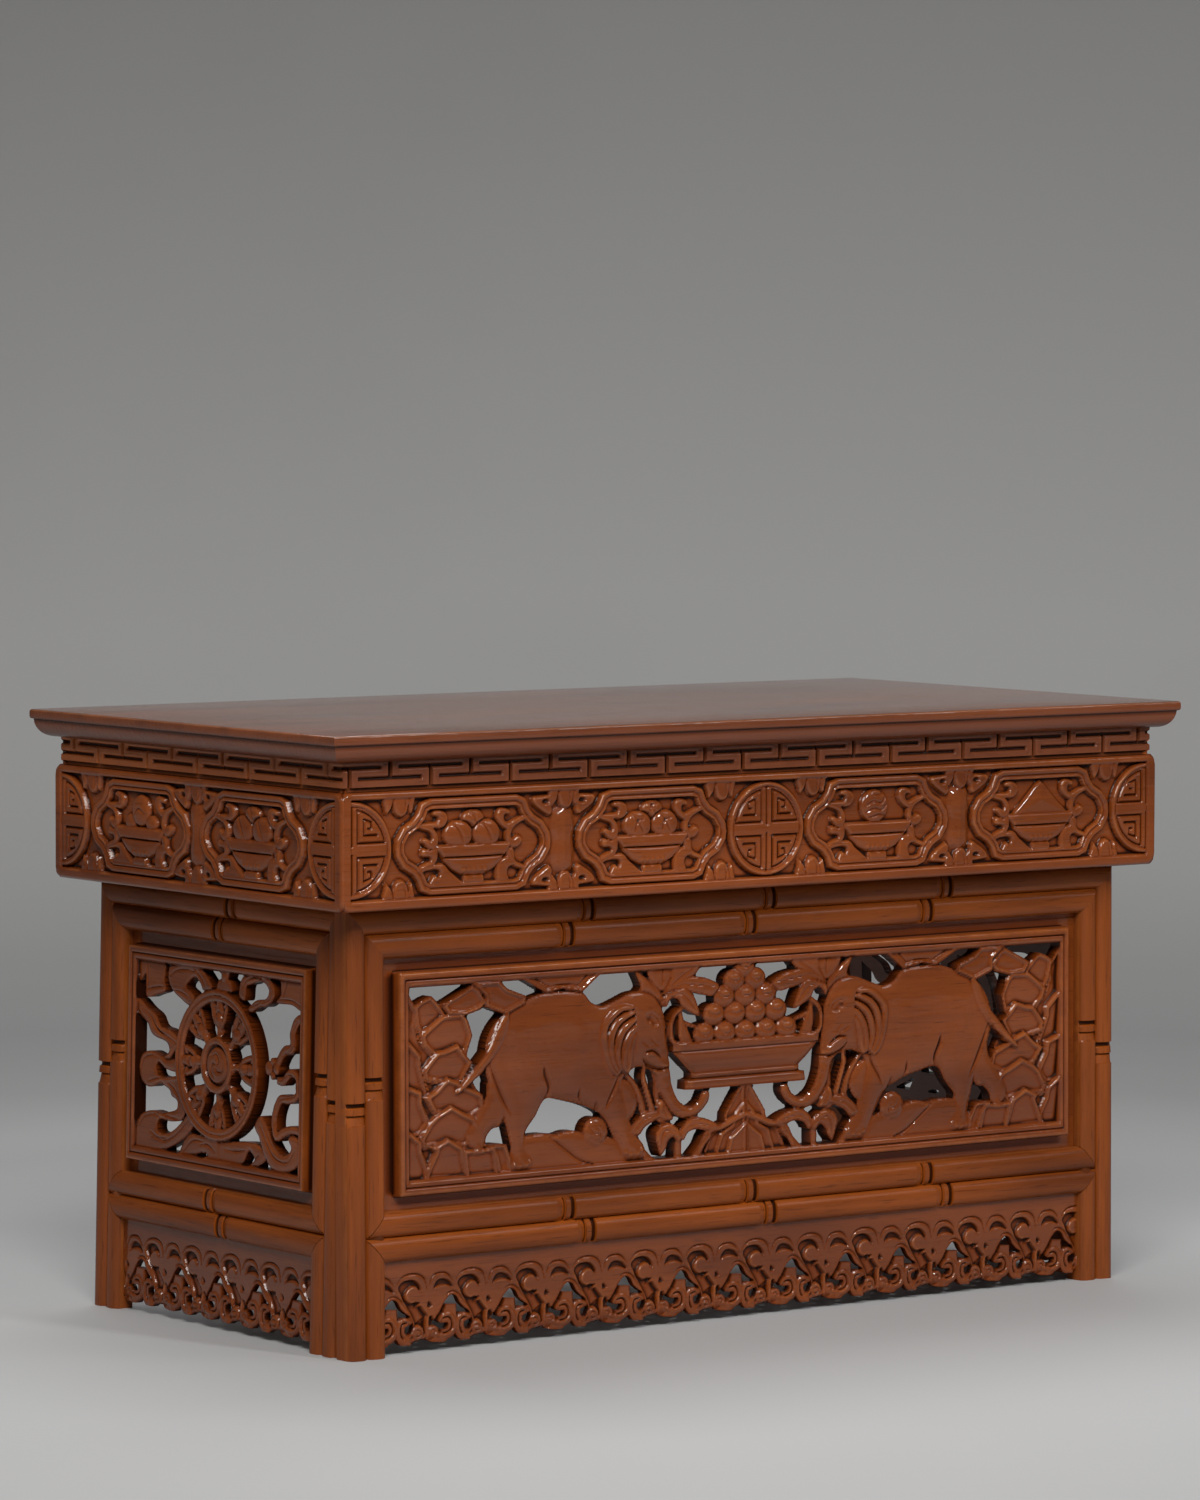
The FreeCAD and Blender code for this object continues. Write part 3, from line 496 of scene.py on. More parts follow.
    def turn_round(self) -> None:
        """Swap left and right."""
        for values in (self.height, self.cover, self.open, self.painted_shade_and_lift):
            values[:] = values[:, ::-1].copy()

    def wood(self) -> np.ndarray:
        """Distance from the nearest opening's edge, positive where there is wood."""
        return np.where(self.open > -FAR / 2, np.maximum(self.cover, -self.open), FAR)

    def build(self, name: str, back: float, place: Matrix, mitre: float = 0.0) -> Piece:
        """Model the board: a grid is shaped, pierced, given its walls and closed behind.

        Args:
            name: Name of the piece.
            back: Depth of the board's flat back, in millimetres behind its datum.
            place: From millimetres in the board's frame to metres in the table's.
            mitre: How much shorter the back is than the face, at each end.

        Returns:
            The finished object.
        """
        rows, columns = self.x.shape
        board = new_grid(name, columns, rows)
        wood = self.wood()
        keep = np.zeros((rows - 1, columns - 1), bool)
        for shift_row in (0, 1):
            for shift_column in (0, 1):
                keep |= wood[shift_row:rows - 1 + shift_row, shift_column:columns - 1 + shift_column] > 0
        for _ in range(8):
            one, two = keep[:-1, :-1] & keep[1:, 1:], keep[1:, :-1] & keep[:-1, 1:]
            lone = (one & ~keep[1:, :-1] & ~keep[:-1, 1:]) | (two & ~keep[:-1, :-1] & ~keep[1:, 1:])
            if not lone.any():
                break
            for shift_row in (0, 1):
                for shift_column in (0, 1):
                    keep[shift_row:rows - 2 + shift_row, shift_column:columns - 2 + shift_column] |= lone
        near = (np.abs(wood) < 2 * self.step) & (wood < 0)
        slope_z, slope_x = np.gradient(np.clip(wood, -3 * self.step, 3 * self.step), self.up, self.across)
        length = np.maximum(np.hypot(slope_x, slope_z), 1e-6)
        shift = np.where(near, np.minimum(-wood, 0.95 * self.step), 0)
        x = np.clip(self.x + shift * slope_x / length, self.x.min(), self.x.max())
        z = np.clip(self.z + shift * slope_z / length, self.z.min(), self.z.max())
        solid = (wood > 0).astype(float)
        beside = blurred(np.where(wood > 0, self.height, 0), 1) / np.maximum(blurred(solid, 1), 1e-3)
        height = np.where(near, beside, self.height)
        # Painted shade: cells sunk below their neighbours are darkened, and so is the wood along every
        # opening's edge; the canvas's own painted marks are added.
        sunk = blurred(self.height, max(int(2.2 / self.step), 1)) - self.height
        points = np.column_stack([x.ravel(), -height.ravel(), z.ravel()])
        board.data.vertices.foreach_set("co", points.ravel())
        dark = np.where(self.painted_shade_and_lift > 0.99, 1.0, sunk / 1.25 + self.painted_shade_and_lift)
        dark = np.where(np.abs(wood) < 1.2 * self.step, np.maximum(dark, 0.42), dark)
        mark_hollow(board, dark)
        if not keep.all():
            board.data.polygons.foreach_set("select", ~keep.ravel())
            take(board)
            mode("EDIT")
            bpy.ops.mesh.select_mode(type="FACE")
            mode("OBJECT")
            board.data.polygons.foreach_set("select", ~keep.ravel())
            mode("EDIT")
            bpy.ops.mesh.delete(type="FACE")
            mode("OBJECT")
        self.close_behind(board, back, 1 - mitre / self.right)
        board.data.transform(place)
        return board

    @staticmethod
    def close_behind(board: Piece, back: float, share: float) -> None:
        """Draw the open edges back to a flat plane and fill it.

        Args:
            board: The shaped face.
            back: Depth of the plane.
            share: Length of the back as a share of the face's.
        """
        take(board)
        mode("EDIT")
        bpy.ops.mesh.select_mode(type="EDGE")
        bpy.ops.mesh.select_all(action="DESELECT")
        bpy.ops.mesh.select_non_manifold(extend=False, use_wire=False, use_multi_face=False,
                                         use_non_contiguous=False, use_verts=False)
        # Painted shade: the walls darken towards the back, and the back plane a little.
        for depth, narrow, dark in ((back - 0.4, share, 0.9), (back, 1.0, 0.12)):
            bpy.ops.mesh.extrude_region_move(TRANSFORM_OT_translate={"value": (0, 0, 0)})
            mode("OBJECT")
            chosen = np.zeros(len(board.data.vertices), bool)
            board.data.vertices.foreach_get("select", chosen)
            points = np.zeros(len(chosen) * 3)
            board.data.vertices.foreach_get("co", points)
            points = points.reshape(-1, 3)
            points[chosen, 1] = depth
            points[chosen, 0] *= narrow
            board.data.vertices.foreach_set("co", points.ravel())
            hollow = board.data.attributes["hollow"].data
            marks = np.zeros(len(chosen), np.float32)
            hollow.foreach_get("value", marks)
            hollow.foreach_set("value", np.where(chosen, dark, marks).astype(np.float32))
            mode("EDIT")
        bpy.ops.mesh.fill(use_beauty=False)
        face_outwards()


# Finishes


@dataclass(frozen=True)
class WoodTone:
    """Colours of one varnished wood, as linear values, and its gloss."""

    name: str
    body: Triple
    fibre: Triple
    # Of the next three colours, the first is darker varnish mixed with painted shade for middling recesses,
    # the second is nearly black painted shade for the deepest recesses, and the third lightens worn edges and
    # also paints light onto shadowed moats.
    glaze_and_shade: Triple
    hollow: Triple
    worn: Triple
    roughness: float
    coat: float
    coat_roughness: float
    ripple: float
    gloss: float = 0.08
    open_grain: float = 0.035


CARVED = WoodTone("carved_wood", (0.190, 0.043, 0.007), (0.092, 0.019, 0.004), (0.165, 0.029, 0.002),
                  (0.016, 0.0035, 0.001), (0.330, 0.092, 0.020), 0.46, 0.80, 0.05, 0.20)
FRAME = WoodTone("frame_wood", (0.235, 0.056, 0.009), (0.060, 0.013, 0.004), (0.330, 0.072, 0.005),
                 (0.020, 0.0045, 0.0015), (0.480, 0.165, 0.040), 0.50, 0.36, 0.22, 0.12)
TOP = WoodTone("top_wood", (0.190, 0.052, 0.016), (0.085, 0.022, 0.007), (0.170, 0.034, 0.004),
               (0.040, 0.009, 0.003), (0.560, 0.240, 0.090), 0.38, 1.00, 0.12, 0.05, 0.30, 0.11)
FRIEZE = WoodTone("frieze_wood", (0.150, 0.042, 0.017), (0.075, 0.019, 0.008), (0.150, 0.032, 0.004),
                  (0.012, 0.003, 0.0015), (0.220, 0.068, 0.026), 0.48, 0.55, 0.16, 0.10)
# A lighter copy of the frieze wood: painted light for the short side friezes, which lie in the top's shadow.
SIDE_FRIEZE_LIFTED = WoodTone("side_frieze_painted_lift_wood", (0.390, 0.110, 0.030), (0.190, 0.049, 0.014),
                        (0.360, 0.080, 0.010), (0.016, 0.004, 0.002), (0.300, 0.100, 0.040), 0.48, 0.55, 0.16,
                        0.10)
INNER = WoodTone("inner_wood", (0.140, 0.045, 0.018), (0.090, 0.028, 0.012), (0.110, 0.030, 0.010),
                 (0.050, 0.014, 0.006), (0.230, 0.080, 0.034), 0.60, 0.15, 0.35, 0.10)


class Nodes:
    """Short hand for a material's node tree."""

    def __init__(self, name: str) -> None:
        """Start an empty material.

        Args:
            name: Name of the material.
        """
        self.material = bpy.data.materials.new(name)
        self.material.use_nodes = True
        self.tree = self.material.node_tree
        self.tree.nodes.clear()

    def add(self, kind: str, **values: object) -> bpy.types.Node:
        """Add a node and set its own properties.

        Args:
            kind: Blender's name of the node type.
            values: Properties of the node.

        Returns:
            The node.
        """
        node = self.tree.nodes.new(kind)
        for key, value in values.items():
            setattr(node, key, value)
        return node

    def join(self, start: Socket, end: Socket) -> None:
        """Link two sockets."""
        self.tree.links.new(start, end)

    def mapped(self, scale: Triple, turn: Triple = (0, 0, 0)
               ) -> Socket:
        """Object coordinates, stretched.

        Args:
            scale: Stretch along each axis.
            turn: Turn about each axis, in radians.

        Returns:
            The vector socket.
        """
        place = self.add("ShaderNodeTexCoord")
        mapping = self.add("ShaderNodeMapping")
        mapping.inputs["Scale"].default_value = scale
        mapping.inputs["Rotation"].default_value = turn
        self.join(place.outputs["Object"], mapping.inputs["Vector"])
        return mapping.outputs["Vector"]

    def noise(self, vector: Socket, scale: float, detail: float = 4.0, rough: float = 0.6,
              warp: float = 0.0) -> Socket:
        """A noise texture's value."""
        node = self.add("ShaderNodeTexNoise")
        node.inputs["Scale"].default_value = scale
        node.inputs["Detail"].default_value = detail
        node.inputs["Roughness"].default_value = rough
        node.inputs["Distortion"].default_value = warp
        self.join(vector, node.inputs["Vector"])
        return node.outputs["Fac"]

    def ranged(self, value: Socket, low: float, high: float, to_low: float = 0.0,
               to_high: float = 1.0) -> Socket:
        """Map a value from one range to another, clamped."""
        node = self.add("ShaderNodeMapRange")
        node.inputs["From Min"].default_value = low
        node.inputs["From Max"].default_value = high
        node.inputs["To Min"].default_value = to_low
        node.inputs["To Max"].default_value = to_high
        self.join(value, node.inputs["Value"])
        return node.outputs["Result"]

    def mixed(self, share: Socket, first: object, second: object, blend: str = "MIX"
              ) -> Socket:
        """Mix two colours, each a value or a socket."""
        node = self.add("ShaderNodeMix", data_type="RGBA", blend_type=blend)
        self.join(share, node.inputs[0])
        for index, colour in ((6, first), (7, second)):
            if isinstance(colour, Socket):
                self.join(colour, node.inputs[index])
            else:
                node.inputs[index].default_value = (*colour, 1)
        return node.outputs[2]

    def combined(self, kind: str, first: Socket, second: object) -> Socket:
        """A sum, product or other operation on two values."""
        node = self.add("ShaderNodeMath", operation=kind)
        self.join(first, node.inputs[0])
        if isinstance(second, Socket):
            self.join(second, node.inputs[1])
        else:
            node.inputs[1].default_value = second
        return node.outputs[0]

    def surface(self, colour: Socket, values: dict[str, float]) -> bpy.types.Node:
        """Add the shader and the material's output.

        Args:
            colour: Its colour.
            values: Its plain inputs, by their names.

        Returns:
            The shader.
        """
        shader = self.add("ShaderNodeBsdfPrincipled")
        self.join(colour, shader.inputs["Base Color"])
        for name, value in values.items():
            shader.inputs[name].default_value = value
        self.join(shader.outputs[0], self.add("ShaderNodeOutputMaterial").inputs["Surface"])
        return shader

    def bump(self, height: Socket, distance: float, *ends: Socket) -> None:
        """Drive normals by a height, as deep as a distance in metres."""
        bump = self.add("ShaderNodeBump")
        bump.inputs["Distance"].default_value = distance
        self.join(height, bump.inputs["Height"])
        for end in ends:
            self.join(bump.outputs["Normal"], end)


@dataclass(frozen=True)
class VarnishedWood:
    """Glossy varnish on stained wood, with its fibres along one axis."""

    tone: WoodTone
    axis: GrainAxis
    hollows: bool = True

    def make(self) -> bpy.types.Material:
        """Build the material.

        Returns:
            The material, made once for each tone and axis.
        """
        name = f"{self.tone.name}_{self.axis.name.lower()}" + ("" if self.hollows else "_plain")
        if name in bpy.data.materials:
            return bpy.data.materials[name]
        nodes = Nodes(name)
        tone = self.tone
        scale = [1.0, 1.0, 1.0]
        scale[self.axis.value] = 0.045
        long = nodes.mapped(tuple(scale))
        fibre = nodes.ranged(nodes.noise(long, 330, 3, 0.65), 0.38, 0.66)
        band = nodes.ranged(nodes.noise(long, 42, 5, 0.55, 0.4), 0.36, 0.66)
        scale[self.axis.value] = 0.30
        cloud = nodes.ranged(nodes.noise(nodes.mapped(tuple(scale)), 14, 3, 0.5), 0.34, 0.68)
        pores = nodes.ranged(nodes.noise(long, 900, 2, 0.5), 0.60, 0.72)
        colour = nodes.mixed(nodes.combined("MULTIPLY", band, 0.75), tone.body, tone.fibre)
        colour = nodes.mixed(nodes.combined("MULTIPLY", fibre, 0.35), colour, tone.fibre)
        lighter = tuple(min(value * 1.6, 1) for value in tone.body)
        colour = nodes.mixed(nodes.combined("MULTIPLY", cloud, 0.5), colour, lighter)
        scale[self.axis.value] = 0.16
        patch = nodes.ranged(nodes.noise(nodes.mapped(tuple(scale)), 24, 2, 0.5, 0.6), 0.52, 0.74)
        colour = nodes.mixed(nodes.combined("MULTIPLY", patch, 0.55), colour, tone.fibre)
        colour = nodes.mixed(nodes.combined("MULTIPLY", pores, 0.45), colour,
                             tuple(value * 0.45 for value in tone.fibre))
        if self.hollows:
            # The hollow attribute paints shade: middling recesses take a colour mixing painted shade with
            # darker varnish, and deep ones go nearly black as painted shade; below zero, worn edges lighten,
            # and the moat's painted light uses the same lighter colour.
            hollow = nodes.add("ShaderNodeAttribute", attribute_name="hollow").outputs["Fac"]
            colour = nodes.mixed(nodes.ranged(hollow, 0.05, 0.35, 0, 0.80), colour, tone.glaze_and_shade)
            colour = nodes.mixed(nodes.ranged(hollow, 0.28, 0.85, 0, 0.94), colour, tone.hollow)
            wear_and_lift_patches = nodes.ranged(nodes.noise(nodes.mapped((1, 1, 1)), 60, 3), 0.35, 0.6, 0.35, 1)
            edge = nodes.combined("MULTIPLY", nodes.ranged(hollow, -0.3, -0.9, 0, 0.55), wear_and_lift_patches)
            colour = nodes.mixed(edge, colour, tone.worn)
        shader = nodes.surface(colour, {"Coat Weight": tone.coat, "Coat Roughness": tone.coat_roughness,
                                        "Coat IOR": 1.5, "IOR": 1.45, "Specular IOR Level": tone.gloss})
        nodes.join(nodes.ranged(cloud, 0, 1, tone.roughness - 0.07, tone.roughness + 0.1),
                   shader.inputs["Roughness"])
        if self.hollows:
            # The coat thins in the painted-shade hollows, so they reflect less.
            coat = nodes.ranged(hollow, 0.05, 0.5, tone.coat, tone.coat * 0.25)
            nodes.join(coat, shader.inputs["Coat Weight"])
        waves = nodes.noise(nodes.mapped((1, 1, 1)), 95, 2, 0.5)
        relief = nodes.combined("ADD", nodes.combined("MULTIPLY", waves, tone.ripple),
                                nodes.combined("MULTIPLY", fibre, tone.open_grain))
        nodes.bump(relief, 0.0012, shader.inputs["Normal"], shader.inputs["Coat Normal"])
        return nodes.material


@dataclass(frozen=True)
class Brass:
    """Brushed brass of the hinges, or of the screws, with dull spots."""

    name: str
    colour: Triple = (0.62, 0.40, 0.13)
    roughness: float = 0.32

    def make(self) -> bpy.types.Material:
        """Build the material, made once for each name."""
        if self.name in bpy.data.materials:
            return bpy.data.materials[self.name]
        nodes = Nodes(self.name)
        spots = nodes.ranged(nodes.noise(nodes.mapped((1, 1, 1)), 160, 4), 0.42, 0.66)
        brushed = nodes.noise(nodes.mapped((1, 1, 0.05)), 900, 2)
        dull = tuple(value * 0.45 for value in self.colour)
        colour = nodes.mixed(nodes.combined("MULTIPLY", spots, 0.6), self.colour, dull)
        shader = nodes.surface(colour, {"Metallic": 1.0})
        rough = nodes.ranged(spots, 0, 1, self.roughness, self.roughness + 0.2)
        nodes.join(rough, shader.inputs["Roughness"])
        nodes.bump(brushed, 0.0001, shader.inputs["Normal"])
        return nodes.material


def dress(piece: Piece, material: bpy.types.Material) -> None:
    """Give a piece one material all over."""
    piece.data.materials.clear()
    piece.data.materials.append(material)
    piece.data.polygons.foreach_set("material_index", [0] * len(piece.data.polygons))


def finished(piece: Piece, body: str, slot: str, material: bpy.types.Material, *nodes: str,
             angle: float = 40.0) -> Piece:
    """Shade, dress and hand over a piece that stands for CAD nodes.

    Args:
        piece: The piece, in its place.
        body: The moving body that carries it.
        slot: The record's material slot; not used.
        material: Its finish.
        nodes: The nodes that it stands for.
        angle: Sharpest turn, in degrees, that is still shaded smooth.

    Returns:
        The piece.
    """
    take(piece)
    bpy.ops.object.shade_smooth_by_angle(angle=math.radians(angle))
    dress(piece, material)
    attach(piece, body)
    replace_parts(piece, *nodes)
    LOG.info("%s: %d faces", piece.name, len(piece.data.polygons))
    return piece


# Studio


@dataclass
class Studio:
    """Camera, soft lamps and a pale floor that curves up into a grey backdrop."""

    eye: Triple = (-2.648, -3.548, 0.656)
    yaw: float = 36.617
    pitch: float = 3.705
    roll: float = 0.166
    lens: float = 157.06
    floor_colour: Triple = (0.455, 0.457, 0.460)
    far_colour: Triple = (0.330, 0.331, 0.330)
    wall_colour: Triple = (0.680, 0.676, 0.664)
    high_colour: Triple = (0.325, 0.320, 0.313)

    def camera(self) -> None:
        """Set up the camera at the photograph's place."""
        yaw, pitch, roll = (math.radians(value) for value in (self.yaw, self.pitch, self.roll))
        ahead = Vector((math.sin(yaw) * math.cos(pitch), math.cos(yaw) * math.cos(pitch), -math.sin(pitch)))
        side = Vector((math.cos(yaw), -math.sin(yaw), 0))
        above = side.cross(ahead)
        right = math.cos(roll) * side + math.sin(roll) * above
        top = -math.sin(roll) * side + math.cos(roll) * above
        data = bpy.data.cameras.new("photo_camera")
        data.sensor_width = data.sensor_height = 36
        data.lens = self.lens
        data.clip_end = 60
        camera = bpy.data.objects.new("photo_camera", data)
        bpy.context.scene.collection.objects.link(camera)
        turn = Matrix((right, top, -ahead)).transposed()
        camera.matrix_world = Matrix.Translation(self.eye) @ turn.to_4x4()
        bpy.context.scene.camera = camera

    def lamp(self, name: str, place: Triple, aim: Triple,
             size: tuple[float, float], power: float, colour: Triple) -> None:
        """Add one soft box.

        Args:
            name: Name of the lamp.
            place: Where it stands.
            aim: What it points at.
            size: Its width and height.
            power: Watts.
            colour: Colour of its light.
        """
        data = bpy.data.lights.new(name, "AREA")
        data.shape = "RECTANGLE"
        data.size, data.size_y = size
        data.energy = power
        data.color = colour
        lamp = bpy.data.objects.new(name, data)
        bpy.context.scene.collection.objects.link(lamp)
        lamp.location = place
        lamp.rotation_euler = (Vector(aim) - Vector(place)).to_track_quat("-Z", "Y").to_euler()

    def backdrop(self) -> None:
        """Model the floor and the wall as one sheet, bent behind the table."""
        deselect_all()
        bpy.ops.mesh.primitive_grid_add(x_subdivisions=4, y_subdivisions=48, size=1)
        sheet = bpy.context.object
        sheet.name = "floor_and_backdrop"
        yaw = math.radians(self.yaw)
        reach, bend, start = 9.0, 1.6, -4.2
        for vertex in sheet.data.vertices:
            run = start + (vertex.co.y + 0.5) * 13.0
            side = vertex.co.x * 2 * reach
            wall = 2.4
            if run < wall:
                out, up = run, 0.0
            elif run < wall + bend * math.pi / 2:
                angle = (run - wall) / bend
                out, up = wall + bend * math.sin(angle), bend * (1 - math.cos(angle))
            else:
                out, up = wall + bend, bend + run - wall - bend * math.pi / 2
            vertex.co = (out * math.sin(yaw) + side * math.cos(yaw),
                         out * math.cos(yaw) - side * math.sin(yaw), up)
        take(sheet)
        bpy.ops.object.shade_smooth()
        nodes = Nodes("studio_paper")
        place = nodes.add("ShaderNodeTexCoord")
        split = nodes.add("ShaderNodeSeparateXYZ")
        nodes.join(place.outputs["Object"], split.inputs[0])
        away = nodes.add("ShaderNodeVectorMath", operation="LENGTH")
        nodes.join(place.outputs["Object"], away.inputs[0])
        away = away.outputs["Value"]
        level = nodes.ranged(split.outputs["Z"], 0.0, 1.6)
        # Between the pale floor and the wall the paper is painted darker, a painted shadow at the foot of the
        # backdrop.
        paper = nodes.mixed(nodes.ranged(away, 0.6, 1.25), self.floor_colour, self.far_colour)
        paper = nodes.mixed(nodes.ranged(away, 1.7, 3.4), paper, self.wall_colour)
        ramp = nodes.mixed(level, paper, self.high_colour)
        cloud = nodes.ranged(nodes.noise(nodes.mapped((1, 1, 1)), 1.3, 3), 0.3, 0.7, 0.97, 1.03)
        shade = nodes.mixed(cloud, (0, 0, 0), ramp)
        nodes.surface(shade, {"Roughness": 0.62, "Specular IOR Level": 0.25})
        dress(sheet, nodes.material)

    def build(self) -> None:
        """Set up camera, lamps, world and floor."""
        scene = bpy.context.scene
        scene.view_settings.view_transform = "Standard"
        self.camera()
        self.backdrop()
        self.lamp("key_box", (-1.62, -1.95, 2.3), (0, 0, 0.2), (1.35, 1.35), 76, (1, 0.985, 0.955))
        self.lamp("spark_box", (0.35, -2.5, 1.9), (0, 0, 0.2), (0.24, 0.24), 24, (1, 1, 1))
        self.lamp("fill_box", (2.1, -2.5, 2.35), (0, 0, 0.2), (1.2, 1.0), 11, (0.98, 0.99, 1))
        self.lamp("top_box", (0.2, 0.9, 2.7), (0, 0, 0.3), (2.0, 1.4), 34, (1, 1, 1))
        world = bpy.data.worlds.new("studio_air")
        world.use_nodes = True
        world.node_tree.nodes["Background"].inputs["Color"].default_value = (0.42, 0.43, 0.45, 1)
        world.node_tree.nodes["Background"].inputs["Strength"].default_value = 0.24
        scene.world = world
        LOG.info("studio set up")


# Top and bars


@dataclass
class TopBoard:
    """The one-piece top with its moulded edge, drawn up from the underside in steps."""

    length: float = 704.0
    width: float = 361.0
    profile: str = ("13 382, 10.4 382.1, 8.1 382.9, 6.2 384.1, 4.6 385.8, 3.4 387.8, 2.5 390.2, 2.1 392.4, "
        "2.0 393.5, 0.9 393.7, 0.3 394.2, 0 395.0, 0 398.4, 0.3 399.3, 0.9 399.8, 1.8 400")

    def build(self) -> None:
        """Model the board by extruding and scaling rings, and dress it."""
        deselect_all()
        bpy.ops.mesh.primitive_plane_add(size=1)
        board = bpy.context.object
        board.name = board.data.name = "top_board_moulded"
        rings = numbers(self.profile)
        size = np.array([self.length, self.width]) - 2 * rings[0, 0]
        take(board)
        mode("EDIT")
        bpy.ops.mesh.select_all(action="SELECT")
        bpy.ops.mesh.subdivide(number_cuts=5)
        bpy.ops.transform.resize(value=(size[0] * MM, size[1] * MM, 1))
        bpy.ops.transform.translate(value=(0, 0, rings[0, 1] * MM))
        for inset, height in rings[1:]:
            wanted = np.array([self.length, self.width]) - 2 * inset
            last = bpy.context.scene.cursor.location.z
            bpy.ops.mesh.extrude_region_move(TRANSFORM_OT_translate={"value": (0, 0, last)})
            bpy.ops.transform.resize(value=(wanted[0] / size[0], wanted[1] / size[1], 1),
                                     center_override=(0, 0, 0))
            mode("OBJECT")
            for vertex in board.data.vertices:
                if vertex.select:
                    vertex.co.z = height * MM
            mode("EDIT")
            size = wanted
        face_outwards()
        self.mark_hollows(board)
        wood = VarnishedWood(TOP, GrainAxis.ALONG_X)
        finished(board, "top", "top_wood", wood.make(), "top_board", angle=32)

    def mark_hollows(self, board: Piece) -> None:
        """Note the painted shade under the moulding and along the step between lip and moulding, and the
        lighter worn upper arris.
        """
        heights = np.array([vertex.co.z / MM for vertex in board.data.vertices])
        mark_hollow(board, np.interp(heights, [382, 384, 388, 391, 393.4, 394.1, 395, 398.5, 399.4, 400],
                                     [0.7, 0.5, 0.28, 0.2, 0.9, 0.5, 0.2, 0.15, -0.7, 0]))


